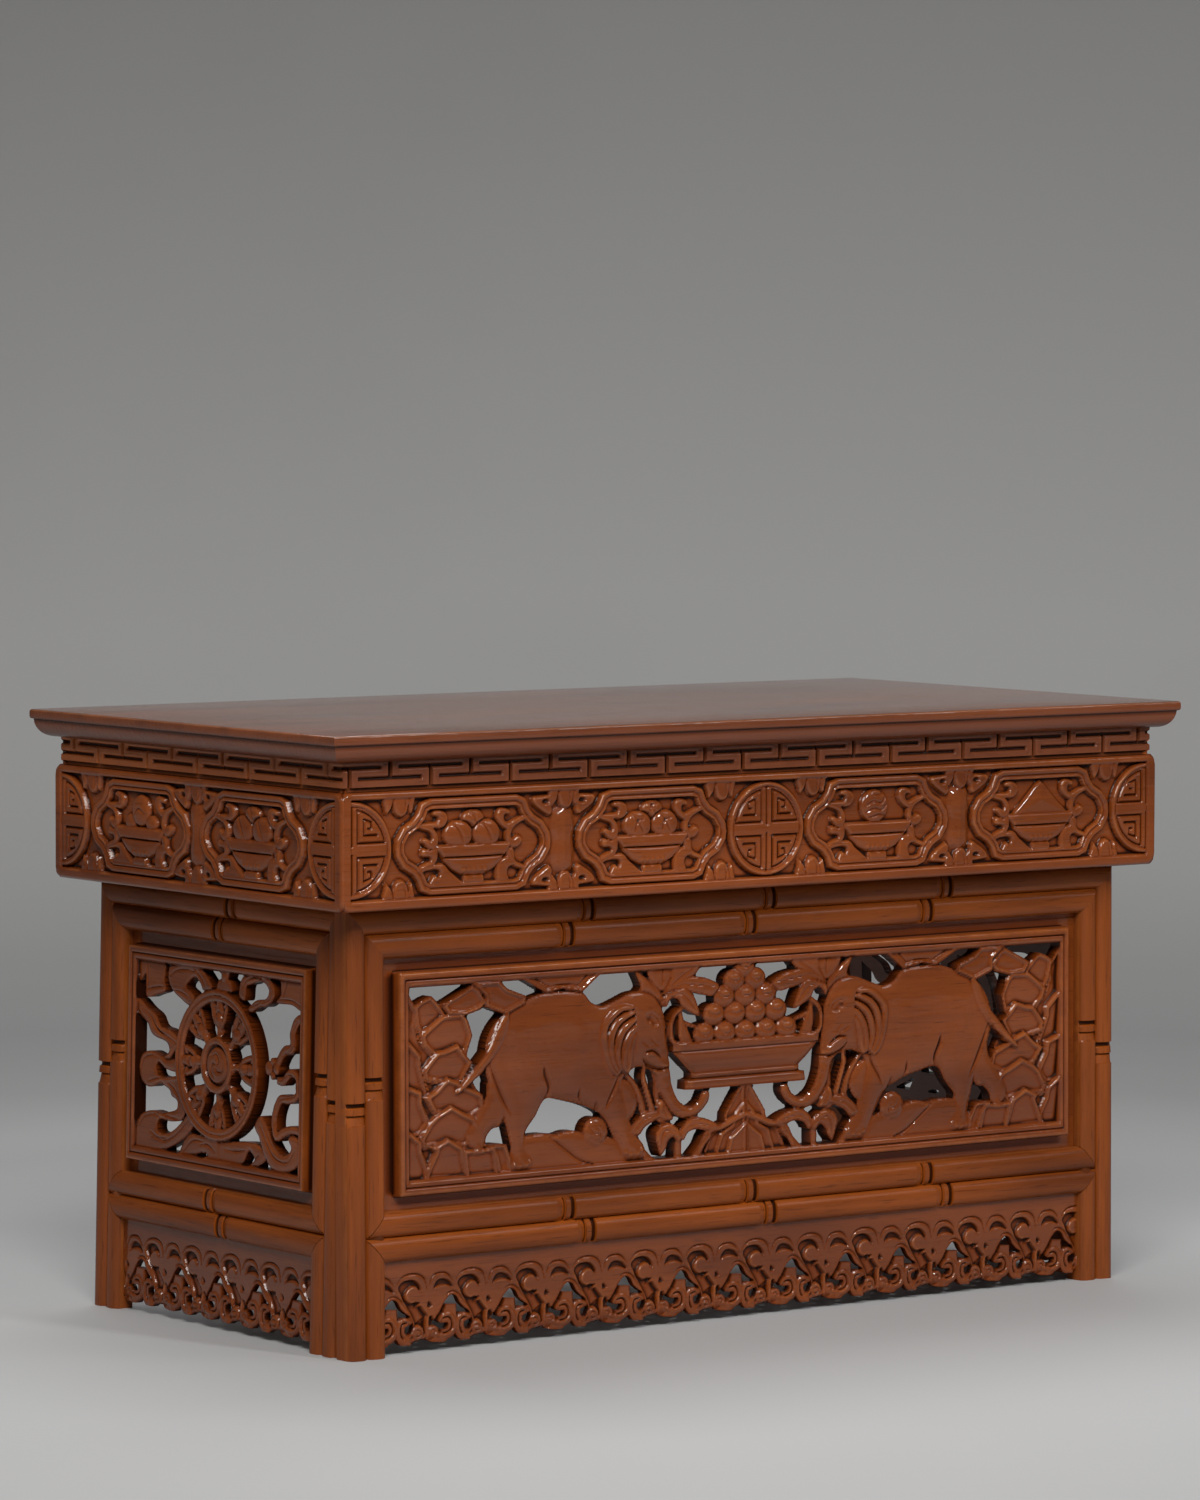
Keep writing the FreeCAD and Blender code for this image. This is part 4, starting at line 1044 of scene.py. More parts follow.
@dataclass
class BambooBar:
    """One member of a panel's frame: two half-round beads side by side, with bamboo nodes cut in them."""

    name: str
    nodes: tuple[str, ...]
    upright: bool
    first: float
    bead: float
    run: tuple[float, float]
    start_cut: str
    end_cut: str
    joints: tuple[tuple[float, int, int], ...]
    thickness: float
    rise: float = 4.5
    plain: float = 0.0
    notch: tuple[float, float] | None = None

    NODE = numbers("-7.8 0, -7.3 -0.9, -1.2 -2.5, -0.5 -0.5, 3.4 -0.9, 4.6 -2.9, 6.4 -3.0, 7.2 0")

    def section(self) -> np.ndarray:
        """Points around the bar: across, depth and bead number, closed."""
        rows = [(self.first, self.thickness, 0), (self.first, self.rise, 0)]
        for bead in (0, 1):
            for share in np.linspace(0, 1, 15)[1:]:
                bow = (1 - 0.95 * abs(2 * share - 1) ** 2.5) ** 0.46
                rise = self.rise * (bow - 0.05 ** 0.46) / (1 - 0.05 ** 0.46)
                rows.append((self.first + (bead + share) * self.bead, self.rise - rise, bead))
            if bead == 0:
                rows.append((self.first + self.bead, self.rise + 0.25, 0))
        last = self.first + 2 * self.bead
        if self.plain:
            rows += [(last, self.rise, 1), (last + self.plain, self.rise, 1)]
            last += self.plain
        rows += [(last, self.thickness, 1), (self.first, self.thickness, 0)]
        return np.array(rows)

    def stations(self) -> np.ndarray:
        """Places along the bar, close together at its nodes."""
        places = set(np.linspace(self.run[0], self.run[1], max(int((self.run[1] - self.run[0]) / 14), 8)))
        for centre, _, way in self.joints:
            places = {place for place in places if abs(place - centre) > 8.4}
            for offset in self.NODE[:, 0]:
                places |= {centre + way * offset, centre + way * (offset + 0.25)}
            places |= {centre + way * offset for offset in (-6.0, -4.5, -3.0, 0.8, 2.2, 5.5, -8.3, 7.9)}
        if self.notch:
            for share in np.linspace(0, 1, 15)[1:]:
                places |= {76.5 + side * (16 * share + lap) for side in (-1, 1) for lap in (-0.15, 0.02)}
        return np.array(sorted(place for place in places if self.run[0] <= place <= self.run[1]))

    def build(self, body: str, place: Matrix, tone: WoodTone, axis: GrainAxis, back_cut: float | None = None
              ) -> Piece:
        """Model and dress the bar.

        Args:
            body: The body that carries it.
            place: From millimetres in the panel's frame to metres in the table's.
            tone: Its wood.
            axis: Direction of its fibres.
            back_cut: Lowest height that the bar may reach, in metres, where its foot is cut level.

        Returns:
            The finished bar.
        """
        section, along = self.section(), self.stations()
        bar = new_grid(self.name, len(along), len(section))
        across = np.repeat(section[:, 0], len(along))
        depth = np.repeat(section[:, 1], len(along))
        bead = np.repeat(section[:, 2], len(along))
        place_along = np.tile(along, len(section))
        height = np.zeros(len(across))
        crown = np.clip(1 - depth / self.rise, 0, 1)
        # Painted shade: the flanks of each bead darken towards the groove beside it, and the back faces a
        # little; the bar's outer edges are lighter as wear.
        hollow = np.interp(crown, [0, 0.25, 0.6, 1], [0.42, 0.3, 0.0, -0.12])
        front = depth < self.rise + 0.2
        for centre, number, way in self.joints:
            gap = (place_along - centre) * way
            bow = np.interp(gap, self.NODE[:, 0], self.NODE[:, 1], left=0, right=0)
            # Painted shade in the node's grooves.
            ring = np.interp(gap, [-8, -7.2, -3, -1.2, -0.4, 3.2, 4.6, 6.6, 7.3],
                             [0, 0.1, 0.15, 0.9, -0.2, 0.0, 1, 1, 0])
            chosen = (bead == number) & front
            height += np.where(chosen, bow * np.clip(crown * 2.2 + 0.25, 0, 1), 0)
            hollow += np.where(chosen, ring, 0)
        rim = np.isclose(depth, self.rise) & (np.isclose(across, self.first)
                                              | np.isclose(across, self.first + 2 * self.bead))
        hollow[rim] = -0.55
        low, high = numbers(self.start_cut), numbers(self.end_cut)
        for cut, end in ((low, self.run[0]), (high, self.run[1])):
            wanted = np.interp(across, cut[:, 0], cut[:, 1]) - end
            fade = np.clip(1 - np.abs(place_along - end) / 45, 0, 1)
            place_along = place_along + wanted * fade
        if self.notch:
            tip, inner = self.notch
            across_share = (across - tip) / (inner - tip)
            inside = front & (across_share > 0.02) & (np.abs(place_along - 76.5) < 16 * across_share - 0.1)
            height = np.where(inside, depth - self.thickness + 2, height)
        depth = depth - height
        if self.upright:
            points = np.column_stack([across, depth, place_along])
        else:
            points = np.column_stack([place_along, depth, across])
        bar.data.vertices.foreach_set("co", points.ravel())
        mark_hollow(bar, np.where(front, hollow, 0.15))
        take(bar)
        mode("EDIT")
        bpy.ops.mesh.select_all(action="SELECT")
        bpy.ops.mesh.remove_doubles(threshold=0.001)
        bpy.ops.mesh.fill_holes(sides=0)
        face_outwards()
        bar.data.transform(place)
        if back_cut is not None:
            mode("EDIT")
            bpy.ops.mesh.select_all(action="SELECT")
            bpy.ops.mesh.bisect(plane_co=(0, 0, back_cut), plane_no=(0, 0, 1), use_fill=True,
                                clear_inner=True)
            mode("OBJECT")
        return finished(bar, body, "frame_wood", VarnishedWood(tone, axis).make(), *self.nodes, angle=34)


@dataclass
class PanelPlace:
    """Where one folding panel stands, and its own sizes."""

    prefix: str
    body: str
    half: float
    thickness: float
    place: Matrix
    rail_axis: GrainAxis
    rail_joints: tuple[tuple[float, int, int], ...]
    lower_joints: tuple[tuple[float, int, int], ...]
    top_strip: float = 0.0
    bead: float = 14.5

    def board_sheet(self, half: float, margin: float, moulding: float, step: float) -> ReliefCanvas:
        """Start the height map of the panel's carved board, with its moulding cut.

        Args:
            half: Half the board's length.
            margin: Width of its plain ends.
            moulding: Half the length of the moulding.
            step: Distance between the grid's lines.

        Returns:
            The height map.
        """
        sheet = ReliefCanvas(-half, half, BOARD_LOW, BOARD_HIGH, step, -8.0, (margin, margin, 11.6, 11.6))
        sheet.frame_moulding(moulding, MOULDING_LOW, MOULDING_HIGH, MOULDING_WIDTHS, MOAT_LEVEL)
        return sheet

    def finish_carving(self, sheet: ReliefCanvas, name: str, back: float, node: str) -> None:
        """Model and dress a carved piece of the panel.

        Args:
            sheet: Its height map.
            name: Name of the piece.
            back: Depth of its back.
            node: The node that it stands for.
        """
        piece = sheet.build(self.prefix + name, back, self.place)
        wood = VarnishedWood(CARVED, self.rail_axis)
        finished(piece, self.body, "carved_wood", wood.make(), self.prefix + node, angle=55)

    def build_frame(self) -> None:
        """Model the two stiles and the two rails."""
        half, inner = self.half, self.half - 2 * self.bead
        top, shoulder = 286.4, 254.4
        for side, name in ((-1, "left_stile"), (1, "right_stile")):
            outer = side * half
            first = min(outer, side * inner)
            cut = (f"{-half} {top}, {-inner} {shoulder}" if side < 0 else f"{inner} {shoulder}, {half} {top}")
            outer_bead, inner_bead = (0, 1) if side < 0 else (1, 0)
            joints = ((172.7, inner_bead, 1), (157.0, outer_bead, 1))
            foot = f"{first} -2, {first + 2 * self.bead} -2"
            bar = BambooBar(self.prefix + name + "_bamboo", (self.prefix + name,), True, first, self.bead,
                            (-2.0, 270.0), foot, cut, joints, self.thickness,
                            notch=(side * (half - self.bead), side * inner))
            bar.build(self.body, self.place, FRAME, GrainAxis.ALONG_Z, back_cut=0.00002)
        cut_low = f"{shoulder} {-inner}, {top} {-half}"
        cut_high = f"{shoulder} {inner}, {top} {half}"
        if self.top_strip:
            cut_low += f", {top + self.top_strip} {-half}"
            cut_high += f", {top + self.top_strip} {half}"
        rail = BambooBar(self.prefix + "top_rail_bamboo", (self.prefix + "top_rail",), False, shoulder, 16.0,
                         (-half + 14, half - 14), cut_low, cut_high, self.rail_joints, self.thickness,
                         plain=self.top_strip)
        rail.build(self.body, self.place, FRAME, self.rail_axis)
        tip = half - self.bead
        low = f"60.5 {-inner}, 76.5 {-tip}, 92.5 {-inner}"
        high = f"60.5 {inner}, 76.5 {tip}, 92.5 {inner}"
        rail = BambooBar(self.prefix + "lower_rail_bamboo", (self.prefix + "lower_rail",), False, 60.5, 16.0,
                         (-inner - 7, inner + 7), low, high, self.lower_joints, self.thickness)
        rail.build(self.body, self.place, FRAME, self.rail_axis)


def front_place() -> Matrix:
    """From the front panel's frame to the table's, with its lean."""
    pivot = Vector((0, -133.8, 284.5))
    lean = Matrix.Rotation(math.radians(-0.53), 4, "X")
    lean = Matrix.Translation(pivot) @ lean @ Matrix.Translation(-pivot)
    return Matrix.Scale(MM, 4) @ lean @ Matrix.Translation((0, -149.8, 0))


def side_place(side: int) -> Matrix:
    """From a side panel's frame to the table's, side being -1 for the left and 1 for the right."""
    pivot = Vector((side * 300.4, 0, 298.8))
    lean = Matrix.Rotation(math.radians(-side * 1.2), 4, "Y")
    lean = Matrix.Translation(pivot) @ lean @ Matrix.Translation(-pivot)
    stand = Matrix.Translation((side * 314.4, 11.4, 0)) @ Matrix.Rotation(math.radians(side * 90), 4, "Z")
    return Matrix.Scale(MM, 4) @ lean @ stand


NEAR_JOINTS, FAR_JOINTS = (-149.0, 1.0, 152.0), (-132.5, 17.3, 168.9)
FRONT_JOINTS = tuple((x, 0, 1) for x in NEAR_JOINTS) + tuple((x, 1, 1) for x in FAR_JOINTS)
FRONT_LOWER = tuple((x, 1, 1) for x in NEAR_JOINTS) + tuple((x, 0, 1) for x in FAR_JOINTS)


# Front carving


@dataclass
class ElephantBoard:
    """The front's pierced board: two elephants, rocks, leaves and a footed bowl heaped with fruit."""

    panel: PanelPlace
    step: float = 0.98

    def rocks(self, sheet: ReliefCanvas) -> None:
        """Lay the faceted rocks at the end of the field."""
        sheet.lay(drawn("-275.3 236.2, -273 232.6, -267.1 223.5, -258.1 228.1, -251.7 226.2, -244.5 222.6, "
            "-224.5 233, -217.3 229.9, -211.9 226.2, -208.2 221.7, -215.5 218.1, -226.3 215.8, "
            "-221.8 201.8, -226.3 189.1, -230 176.4, -222.7 176.4, -214.6 162.8, -213.7 152.9, -222.7 142, "
            "-227.3 132.9, -217.3 125.7, -211.9 129.3, -196.5 129.8, -191 111.2, -275.3 107.6", False),
            -6.8, 0, 1)
        for text, level in (
                ("-275.3 234.4, -271.6 230.8, -263.5 219.4, -265.1 209.9, -262.6 200.9, -258.1 194.5, "
                 "-250.8 188.2, -259 181.9, -275.3 181.9", -4.6),
                ("-267.1 222.6, -262.1 226.2, -254.4 229.1, -249.4 224.9, -241.7 216.1, -244.5 212.7, "
                 "-253.5 207.2, -261.2 203.6, -264.4 209.9", -4.3),
                ("-261.2 204, -253.5 209.9, -245.4 215.6, -230 216.1, -226.3 212.7, -221.4 201.8, "
                 "-225.3 189.1, -235.4 192.7, -249.9 189.1, -259 197.3", -3.9),
                ("-259.4 180.9, -255.3 186.4, -249.4 192.3, -242.7 193.2, -233.1 196.3, -229.1 190.9, "
                 "-221.8 184.4, -230 171, -241.7 171, -258.1 174.6", -3.7),
                ("-275.3 203.6, -270.7 200, -261.5 190.5, -262.1 185.5, -259 176.4, -254.9 166, "
                 "-262.6 161.9, -275.3 162.8", -3.9),
                ("-258.1 163.7, -250.8 167.4, -241.7 175.3, -233.6 172.3, -226.3 168.3, -213.7 162.8, "
                 "-211.9 152.9, -222.7 148.3, -250.8 152.9", -3.5),
                ("-275.3 174.2, -270.7 171, -261.5 167.4, -261.2 160.1, -254.9 147.4, -262.6 138.4, "
                 "-275.3 140.2", -3.6),
                ("-262.1 136.6, -255.3 147.4, -249.9 152, -239 157.2, -230 152.4, -220.9 148.3, "
                 "-215.5 142, -226.3 129.3, -241.7 132.9, -259 131.1", -3.3),
                ("-275.3 144.7, -270.7 142, -262.1 135.7, -261.5 129.3, -255.8 117.5, -257.1 107.6, "
                 "-275.3 107.6", -3.3),
                ("-259.4 110.3, -256.2 118.4, -250.8 128.9, -253.5 131.1, -241.7 136.4, -230 129.8, "
                 "-228.2 122.1, -224.1 109.4", -3),
                ("-230 128.4, -217.3 127.5, -204.6 128.9, -201 109.4, -226.3 109.4", -3.4),
                ("-211.9 129.8, -203.7 130.7, -196.5 129.8, -192.4 121.2, -190.1 110.3, -201 110.3, "
                 "-204.6 122.1", -3),
        ):
            sheet.lay_rimmed(drawn(text, False), level, 3.1, 1.7, 0.3, 2.6, 0.10)
        for text, level in (
                ("-245.8 223.1, -235.4 228.1, -222.7 234.2, -217.3 230.8, -211.4 222.6, -216.4 218.1, "
                 "-227.3 215.2, -240.8 216.1", -3.4),
                ("-222.7 235.8, -201 235.3, -195.1 230.3, -180.6 224.9, -180.3 219.9, -196 213.6, "
                 "-211.9 219.4, -212.6 227.1", -2.9),
        ):
            sheet.lay_rimmed(drawn(text, False), level, 2.8, 1.6, 0.3, 2.6)

    def hills(self, sheet: ReliefCanvas) -> None:
        """Lay the soft ground under the elephant, with its ball."""
        sheet.lay(drawn("-197 107.2, -193.7 122.4, -182.9 132.2, -169.8 134.6, -156.8 133.3, -139.4 131.6, "
            "-126.3 124.6, -113.3 118.1, -102.4 111.6, -98.1 107.2"), -5.6, 1.9, 7)
        sheet.lay(drawn("-160 130, -148.1 134.6, -137.2 133.7, -125.3 129, -113.3 128.5, -104.6 123.5, "
            "-98.1 113.7, -98.1 107.2, -126.3 107.2, -137.2 114.8, -148.1 123.5"), -4.9, 1.7, 6)
        sheet.score(stroke("-160 131.6, -150.3 124.6, -137.2 115.5, -126.3 112", 1.2, 1.6, 1), 0.9)
        sheet.lay(Disc((-124.2, 132.2), 10.2), -5, 3.9, 10.2)
        sheet.score(stroke("-129.6 136.6, -126.3 132.2, -120.9 130.7", 1, 1), 0.7)
        sheet.score(stroke("-123.1 135, -120.9 131.6, -122 126.8", 1, 1), 0.6)
        sheet.score(stroke("-128.5 129.4, -125.3 126.8, -119.8 125.5", 0.8, 0.8), 0.5)

    def elephant(self, sheet: ReliefCanvas) -> None:
        """Lay the left elephant: far legs, body, tail, ear, eye, tusk and feet."""
        sheet.lay(drawn("-209 171.1, -210.7 161.6, -217.7 151.8, -223.7 144.2, -226.8 137.2, -224.6 129.4, "
            "-217.7 125, -212 127.7, -210.7 135, -205.7 140.3, -199.2 142, -194.8 152.9, -200.3 170.3"),
            -6.2, 3, 6)
        sheet.lay(drawn("-204.6 163.7, -194.8 144.2, -191.6 126.8, -192.4 113.3, -180.7 111.1, "
            "-180.7 139.8"), -6.2, 2.2, 6)
        sheet.lay(drawn("-104.6 164.8, -95.9 163.7, -89.8 155, -89 147.4, -93.7 139.8, -99.2 139.8, "
            "-104.6 150.7"), -6, 2.6, 6)
        body = drawn("-85 222, -74.2 217, -67.2 205, -65 189.8, -62.9 172.4, -61.1 159.4, -55.7 148.5, "
            "-47 143.7, -39.4 146.8, -35.5 152.9, -30.3 152.9, -31.1 145.9, -39.4 138.5, -50.3 136.3, "
            "-62.2 141.6, -70.3 154, -74.2 167, -86.1 172.9, -95.9 170.3, -102 162.7, -98.1 149.6, "
            "-93.3 132.2, -84.6 121.3, -82.9 113.7, -91.6 110.7, -102 113.3, -107.9 125.7, -117.7 142, "
            "-130.7 149.6, -148.1 154.6, -163.7 156.8, -172 145.9, -179.6 136.6, -179.6 124.6, "
            "-173.5 118.1, -175.3 111.6, -185 110.3, -192.4 113.3, -191.1 123.5, -194.8 139.8, "
            "-199.8 152.9, -206.8 165.9, -211.6 179, -212 190.9, -207.9 202.9, -198.1 213.7, -182.9 220.3, "
            "-165.5 225.7, -148.1 226.1, -134 224.2, -126.3 217, -116.6 214.6, -104.6 218.1, -94.8 221.6")
        sheet.lay(body, -5.3, 3.1, 12)
        sheet.swell(drawn("-200.3 209.4, -182.9 215.9, -156.8 219.2, -137.2 215.9, -126.3 200.7, "
            "-128.5 179, -139.4 161.6, -156.8 161.6, -169.8 152.9, -182.9 152.9, -193.7 170.3, "
            "-200.3 189.8"), 0.9, 14)
        sheet.swell(drawn("-93.7 217, -78.5 213.7, -69.8 200.7, -68.7 183.3, -78.5 176.8, -91.6 183.3, "
            "-95.9 200.7"), 0.8, 7)
        sheet.score(stroke("-166.6 180, -165 172.4, -161.6 163.7, -163.7 156.1", 1, 4.4, 3.6, 1.6), 1.6)
        sheet.score(stroke("-136.8 161.6, -137.2 156.8, -135.5 152", 1.4, 2.6, 1.2), 1.3)
        sheet.score(stroke("-123.7 151.8, -122.9 146.8, -119.8 142.4", 1.4, 2.8, 1.2), 1.2)
        sheet.score(stroke("-104.6 169.2, -107.9 161.6, -113.3 152.9, -116.6 145.9", 1, 3.4, 3, 1), 1.2)
        sheet.score(stroke("-209 183.3, -203.5 170.3, -197 157.2, -191.6 148.5", 1, 3.4, 3, 1), 1.2)
        sheet.lay(drawn("-193.7 215.5, -199.8 211.1, -210 193.1, -223.1 179, -235.5 165.5, -229 167.7, "
            "-217.2 176.3, -203.5 189.4, -194.8 204"), -2.9, 1.8, 3)
        ear = drawn("-115.5 203.6, -110.9 208.6, -104.6 212.2, -97.4 213.4, -92.8 210.8, -91.5 203.6, "
            "-92.8 196.3, -95.1 189.1, -96 180, -96.5 173.7, -99.2 169.6, -105.5 167.8, -110 168.7, "
            "-113.2 173.2, -115.5 180.9, -117.5 189.1, -118.2 197.3")
        sheet.sink(ear, -3.8)
        for text in (
                "-94.6 212.1, -103.7 211.6, -111.4 207, -116.9 200.9, -117.3 192.7, -115.1 181.9, "
                 "-111.9 173.7, -107.8 169.2",
                "-93.4 208.7, -100.1 206.7, -106.9 202.5, -111.1 195.8, -112.2 187.3, -110.2 178.2, "
                 "-105.9 170.5",
                "-91.9 204.3, -97.4 201.2, -102.6 196.9, -105.9 189.5, -106.6 181.9, -104.2 172.4",
                "-91.6 199.4, -95.2 195.8, -98.8 190.2, -100.8 183.7, -101.3 176.4, -100.8 171.7",
                "-92.5 193.8, -95 189.1, -96.5 182.8, -97.2 176.4, -98.6 170.6"):
            sheet.lay(stroke(text, 3, 5.2, 5.6, 5.6, 5, 3.4), -2.9, 2.2, 2.6, 3)
        sheet.sink(drawn("-82.7 204.3, -79.2 205.4, -75.4 203.6, -72.7 200.3, -75.6 199.2, -79.7 200.3"),
            -3.2)
        sheet.lay(Disc((-80.4, 200.6), 2.4, 0.7), -2.6, 1.4, 2)
        sheet.score(stroke("-83.8 205.4, -79.2 206.7, -73.8 204, -71.6 200", 0.9, 1.7, 1.7, 0.8), 1)
        sheet.score(stroke("-83.8 207.2, -79.2 208.1, -73.8 205.9", 0.7, 1, 0.5), 0.4)
        sheet.swell(drawn("-83.8 181.9, -77.4 181.9, -72 178.7, -67.5 175.5, -62 171.4, -68.4 170.5, "
            "-75.6 171.9, -81.1 174.2, -84.7 177.3"), 0.9, 1.6)
        sheet.score(stroke("-84.7 181.9, -78.3 182.6, -73.4 180, -70.2 177.3", 1, 2.2, 1.8, 0.8), 1.3)
        sheet.score(stroke("-86.5 189.6, -81.1 186.4, -77 185.5", 0.8, 1.4, 0.6), 0.55)
        sheet.score(stroke("-79.2 190.9, -75.6 187.3, -72 186.4", 0.7, 1.2, 0.5), 0.45)
        sheet.score(stroke("-85.1 177.3, -80.2 172.3, -72 169.9, -62.9 170.8", 1, 2.2, 2.2, 1), 1.4)
        for x, z in ((-66.112, 164.645), (-63.848, 158.305), (-61.130, 152.870), (-56.601, 148.341)):
            sheet.score(stroke(f"{x - 2.717} {z - 1.087}, {x + 2.717} {z + 1.087}", 0.8, 0.8), 0.3)
        sheet.sink(Disc((-48.9, 151.8), 2.2, 0.8), -4.6)
        for x, z, radius in ((-99.8, 117.2, 2.1), (-95.6, 115.6, 2.2), (-90.6, 115.8, 2.3),
                             (-86.4, 118.4, 2), (-189.4, 115.2, 2), (-185, 114.4, 2.2),
                             (-180.4, 114.8, 2.1), (-176.8, 116.8, 1.8), (-217.8, 128.4, 2.4)):
            sheet.swell(Disc((x, z), radius), 0.9, 1.2)

    def saddle(self, sheet: ReliefCanvas) -> None:
        """Lay the cloth on the elephant's back, hanging from the moulding."""
        sheet.lay_rimmed(drawn("-186.1 238.7, -180.7 235, -162.9 225.5, -150.3 227.7, -134.6 224.6, "
            "-128.5 229.4, -120.9 235, -118.7 238.7", False), -3.6, 2, 1.2, 0.2, 2.4)
        sheet.score(stroke("-172 235, -160 229.6, -148.1 230.3, -137.2 229.4, -130.7 235", 1, 1,
            smooth=False), 0.8)

    def leaves(self, sheet: ReliefCanvas) -> None:
        """Lay the lotus leaves, stems and bud between the elephant and the bowl."""
        sheet.lay(stroke("-100.1 170.1, -91.9 161.9, -86.9 152.9, -83.8 142", 3.4, 4.6, 6), -6.6, 2.4, 3)
        sheet.lay(stroke("-82.9 173.7, -84 165.6, -82 158.3, -77 143.8", 3, 4.4, 5), -6.2, 2.4, 3)
        sheet.lay(stroke("-75.6 172.8, -72 162.8, -72 153.8, -70.2 143.8", 6, 5, 6), -7.6, 1.8, 3)
        for text, level, rise, vein in (
                ("-91.9 237.1, -83.8 232.1, -75.6 226.2, -70.2 220.8, -67 213.6, -68.4 210.8, -72 215.4, "
                 "-77.4 219.4, -83.8 221.3, -90.6 221.3, -86.5 225.3", -5.2, 1.6,
                 "-88.3 234.4, -79.2 227.1, -72 219, -68.4 212.7"),
                ("-81.1 238, -70.2 237.1, -56.6 237.1, -61.1 229.9, -66.6 222.2, -72 222.6, -79.2 229.9",
                 -5, 1.4, "-68.4 236.2, -68.4 229.9, -69.3 223.5"),
                ("-59.3 238, -39.4 237.1, -39.8 233, -44.8 229.4, -53.9 225.3, -66.6 221.3, -62.9 229",
                 -4.4, 1.6, "-44.8 234.4, -53.9 229.9, -64.8 222.6"),
                ("-68.4 219.4, -62.9 224.4, -53.9 228.1, -44.8 229.7, -32.1 227.6, -22.2 222.2, "
                 "-27.6 216.1, -37.6 217.6, -47.5 219.7, -57.5 221.7", -3.9, 1.5,
                 "-66.6 220.4, -53.9 224.9, -39.4 223.5, -24.9 222.2"),
                ("-68.4 217.2, -59.3 221.3, -51.2 222.6, -44.8 217.6, -41.2 210.8, -39.4 203.6, "
                 "-46.6 206.1, -53.9 210.4, -57.1 215.4, -62.9 216.1, -67 210.8", -3.1, 1.6,
                 "-64.8 217.2, -53.9 218.5, -46.6 212.7, -40.8 205"),
                ("-95.6 132.5, -88.3 139.7, -81.1 143.1, -72 142, -68.4 138.4, -75.6 136.6, -83.8 132.8, "
                 "-88.3 128, -92.8 128.4", -4.2, 1.6, "-92.8 131.1, -85.6 137.5, -73.8 140.6"),
                ("-72 113.7, -74.9 120.7, -76.3 127.5, -72.9 132.5, -64.8 134, -58 130.7, -53.9 124.3, "
                 "-57.5 121.2, -61.6 125, -66.1 122.1, -67.9 117.5", -3, 1.8,
                 "-71.5 115.7, -71.5 123.9, -68.4 129.3, -59.3 128.4"),
                ("-54.8 129.8, -48.4 135.2, -40.3 136.4, -30.3 133.7, -23.1 129.3, -30.3 126.4, "
                 "-40.3 128.6, -48.4 127.1, -52.5 122.1, -56.1 125.7", -3.6, 1.5,
                 "-52.1 127.5, -44.8 132, -28.5 129.8"),
                ("-31.2 128, -28.5 123, -34.9 116.6, -39.4 110.3, -46.6 110.3, -39.4 118.4, -35.8 124.8",
                 -4, 1.5, "-31.2 125.7, -36.7 119.4, -43 111.2"),
                ("-73.4 141.1, -72.5 147.9, -69.3 149.7, -66.1 146.5, -62.9 141.5, -60.7 136.6, "
                 "-68.4 135.7", -4.6, 2.2, "-69.3 148.3, -67.5 142, -64.8 137.5"),
                ("-83.8 117.5, -79.2 113.9, -75.6 110.3, -84.7 110.3", -4.6, 1.2,
                 "-82 114.8, -79.2 111.2"),
        ):
            sheet.lay(drawn(text), level, rise, 3.4)
            sheet.score(stroke(vein, 0.6, 1.2, 0.6), 0.55)
        sheet.lay(stroke("-56.6 126.6, -56.8 118.4, -57.1 110.3", 5, 5.6, 6), -4.8, 2, 3)
        sheet.lay(stroke("-72 137.5, -64.8 132.9, -57.5 128.4", 4, 4), -5.2, 1.6, 2)
        sheet.lay(stroke("-30.3 127.1, -19.5 128.9, -9.5 132.9, -0.1 135.7", 4.4, 4.4, 4), -4, 1.5, 2.2)

    def bowl(self, sheet: ReliefCanvas) -> None:
        """Lay the footed bowl, its handles, its fruit and the mountain under it."""
        sheet.lay_rimmed(drawn("0 158, -6 153, -13 143, -17 137, -17.5 131, -28 125, -36 108, 0 108",
            False), -4.8, 2.6, 1.3, 0.2, 2.4, 0.03)
        sheet.lay_rimmed(drawn("0 145, -8 137, -11 129, -20 124, -26 108, 0 108", False), -4, 2.4, 1.2, 0.2,
            2.4, 0.03)
        sheet.lay_rimmed(drawn("0 131, -6 126, -13 121, -17 108, 0 108", False), -3.2, 2.2, 1.1, 0.2, 2.4)
        sheet.lay(drawn("-61 186, -61 180.6, -56 176, -50 170.5, -45 166, -45 162, -50 161, -50.5 155, "
            "3 155, 3 186", False), -5, 0, 1)
        rows = numbers("154.6 -4.4, 155.4 -2.6, 160.4 -2.4, 161.2 -4, 162 -4, 163 -2.6, 164.6 -2.4, "
            "165.8 -3.8, 166.6 -3.4, 172 -2.2, 179 -1.9, 180.2 -3, 181.2 -1.5, 185.2 -1.2, 186.4 -3")
        rows = np.interp(sheet.z, rows[:, 0], rows[:, 1])
        edge = numbers("155 -50.3, 161 -49.6, 161.8 -45.5, 166 -45.5, 170.5 -50, 176 -56, 180.6 -60, "
            "181 -61, 186 -61")
        edge = np.interp(sheet.z, edge[:, 0], edge[:, 1])
        inside = (sheet.z > 154.6) & (sheet.z < 186.4) & (sheet.x <= 0)
        body = rows - 1.6 * (1 - eased((sheet.x - edge) / 5)) + 2.4 * np.minimum(sheet.x - edge, 0)
        sheet.height = np.where(inside & (sheet.x > edge - 1.5), np.maximum(sheet.height, body), sheet.height)
        sheet.lay(stroke("-52.5 185, -58.9 186.2, -62.4 190.5, -62.9 198.6, -59.8 205, -54.8 208.6", 3.6,
            3.4, 3.4, 3, 3.4), -3.4, 1.4, 2)
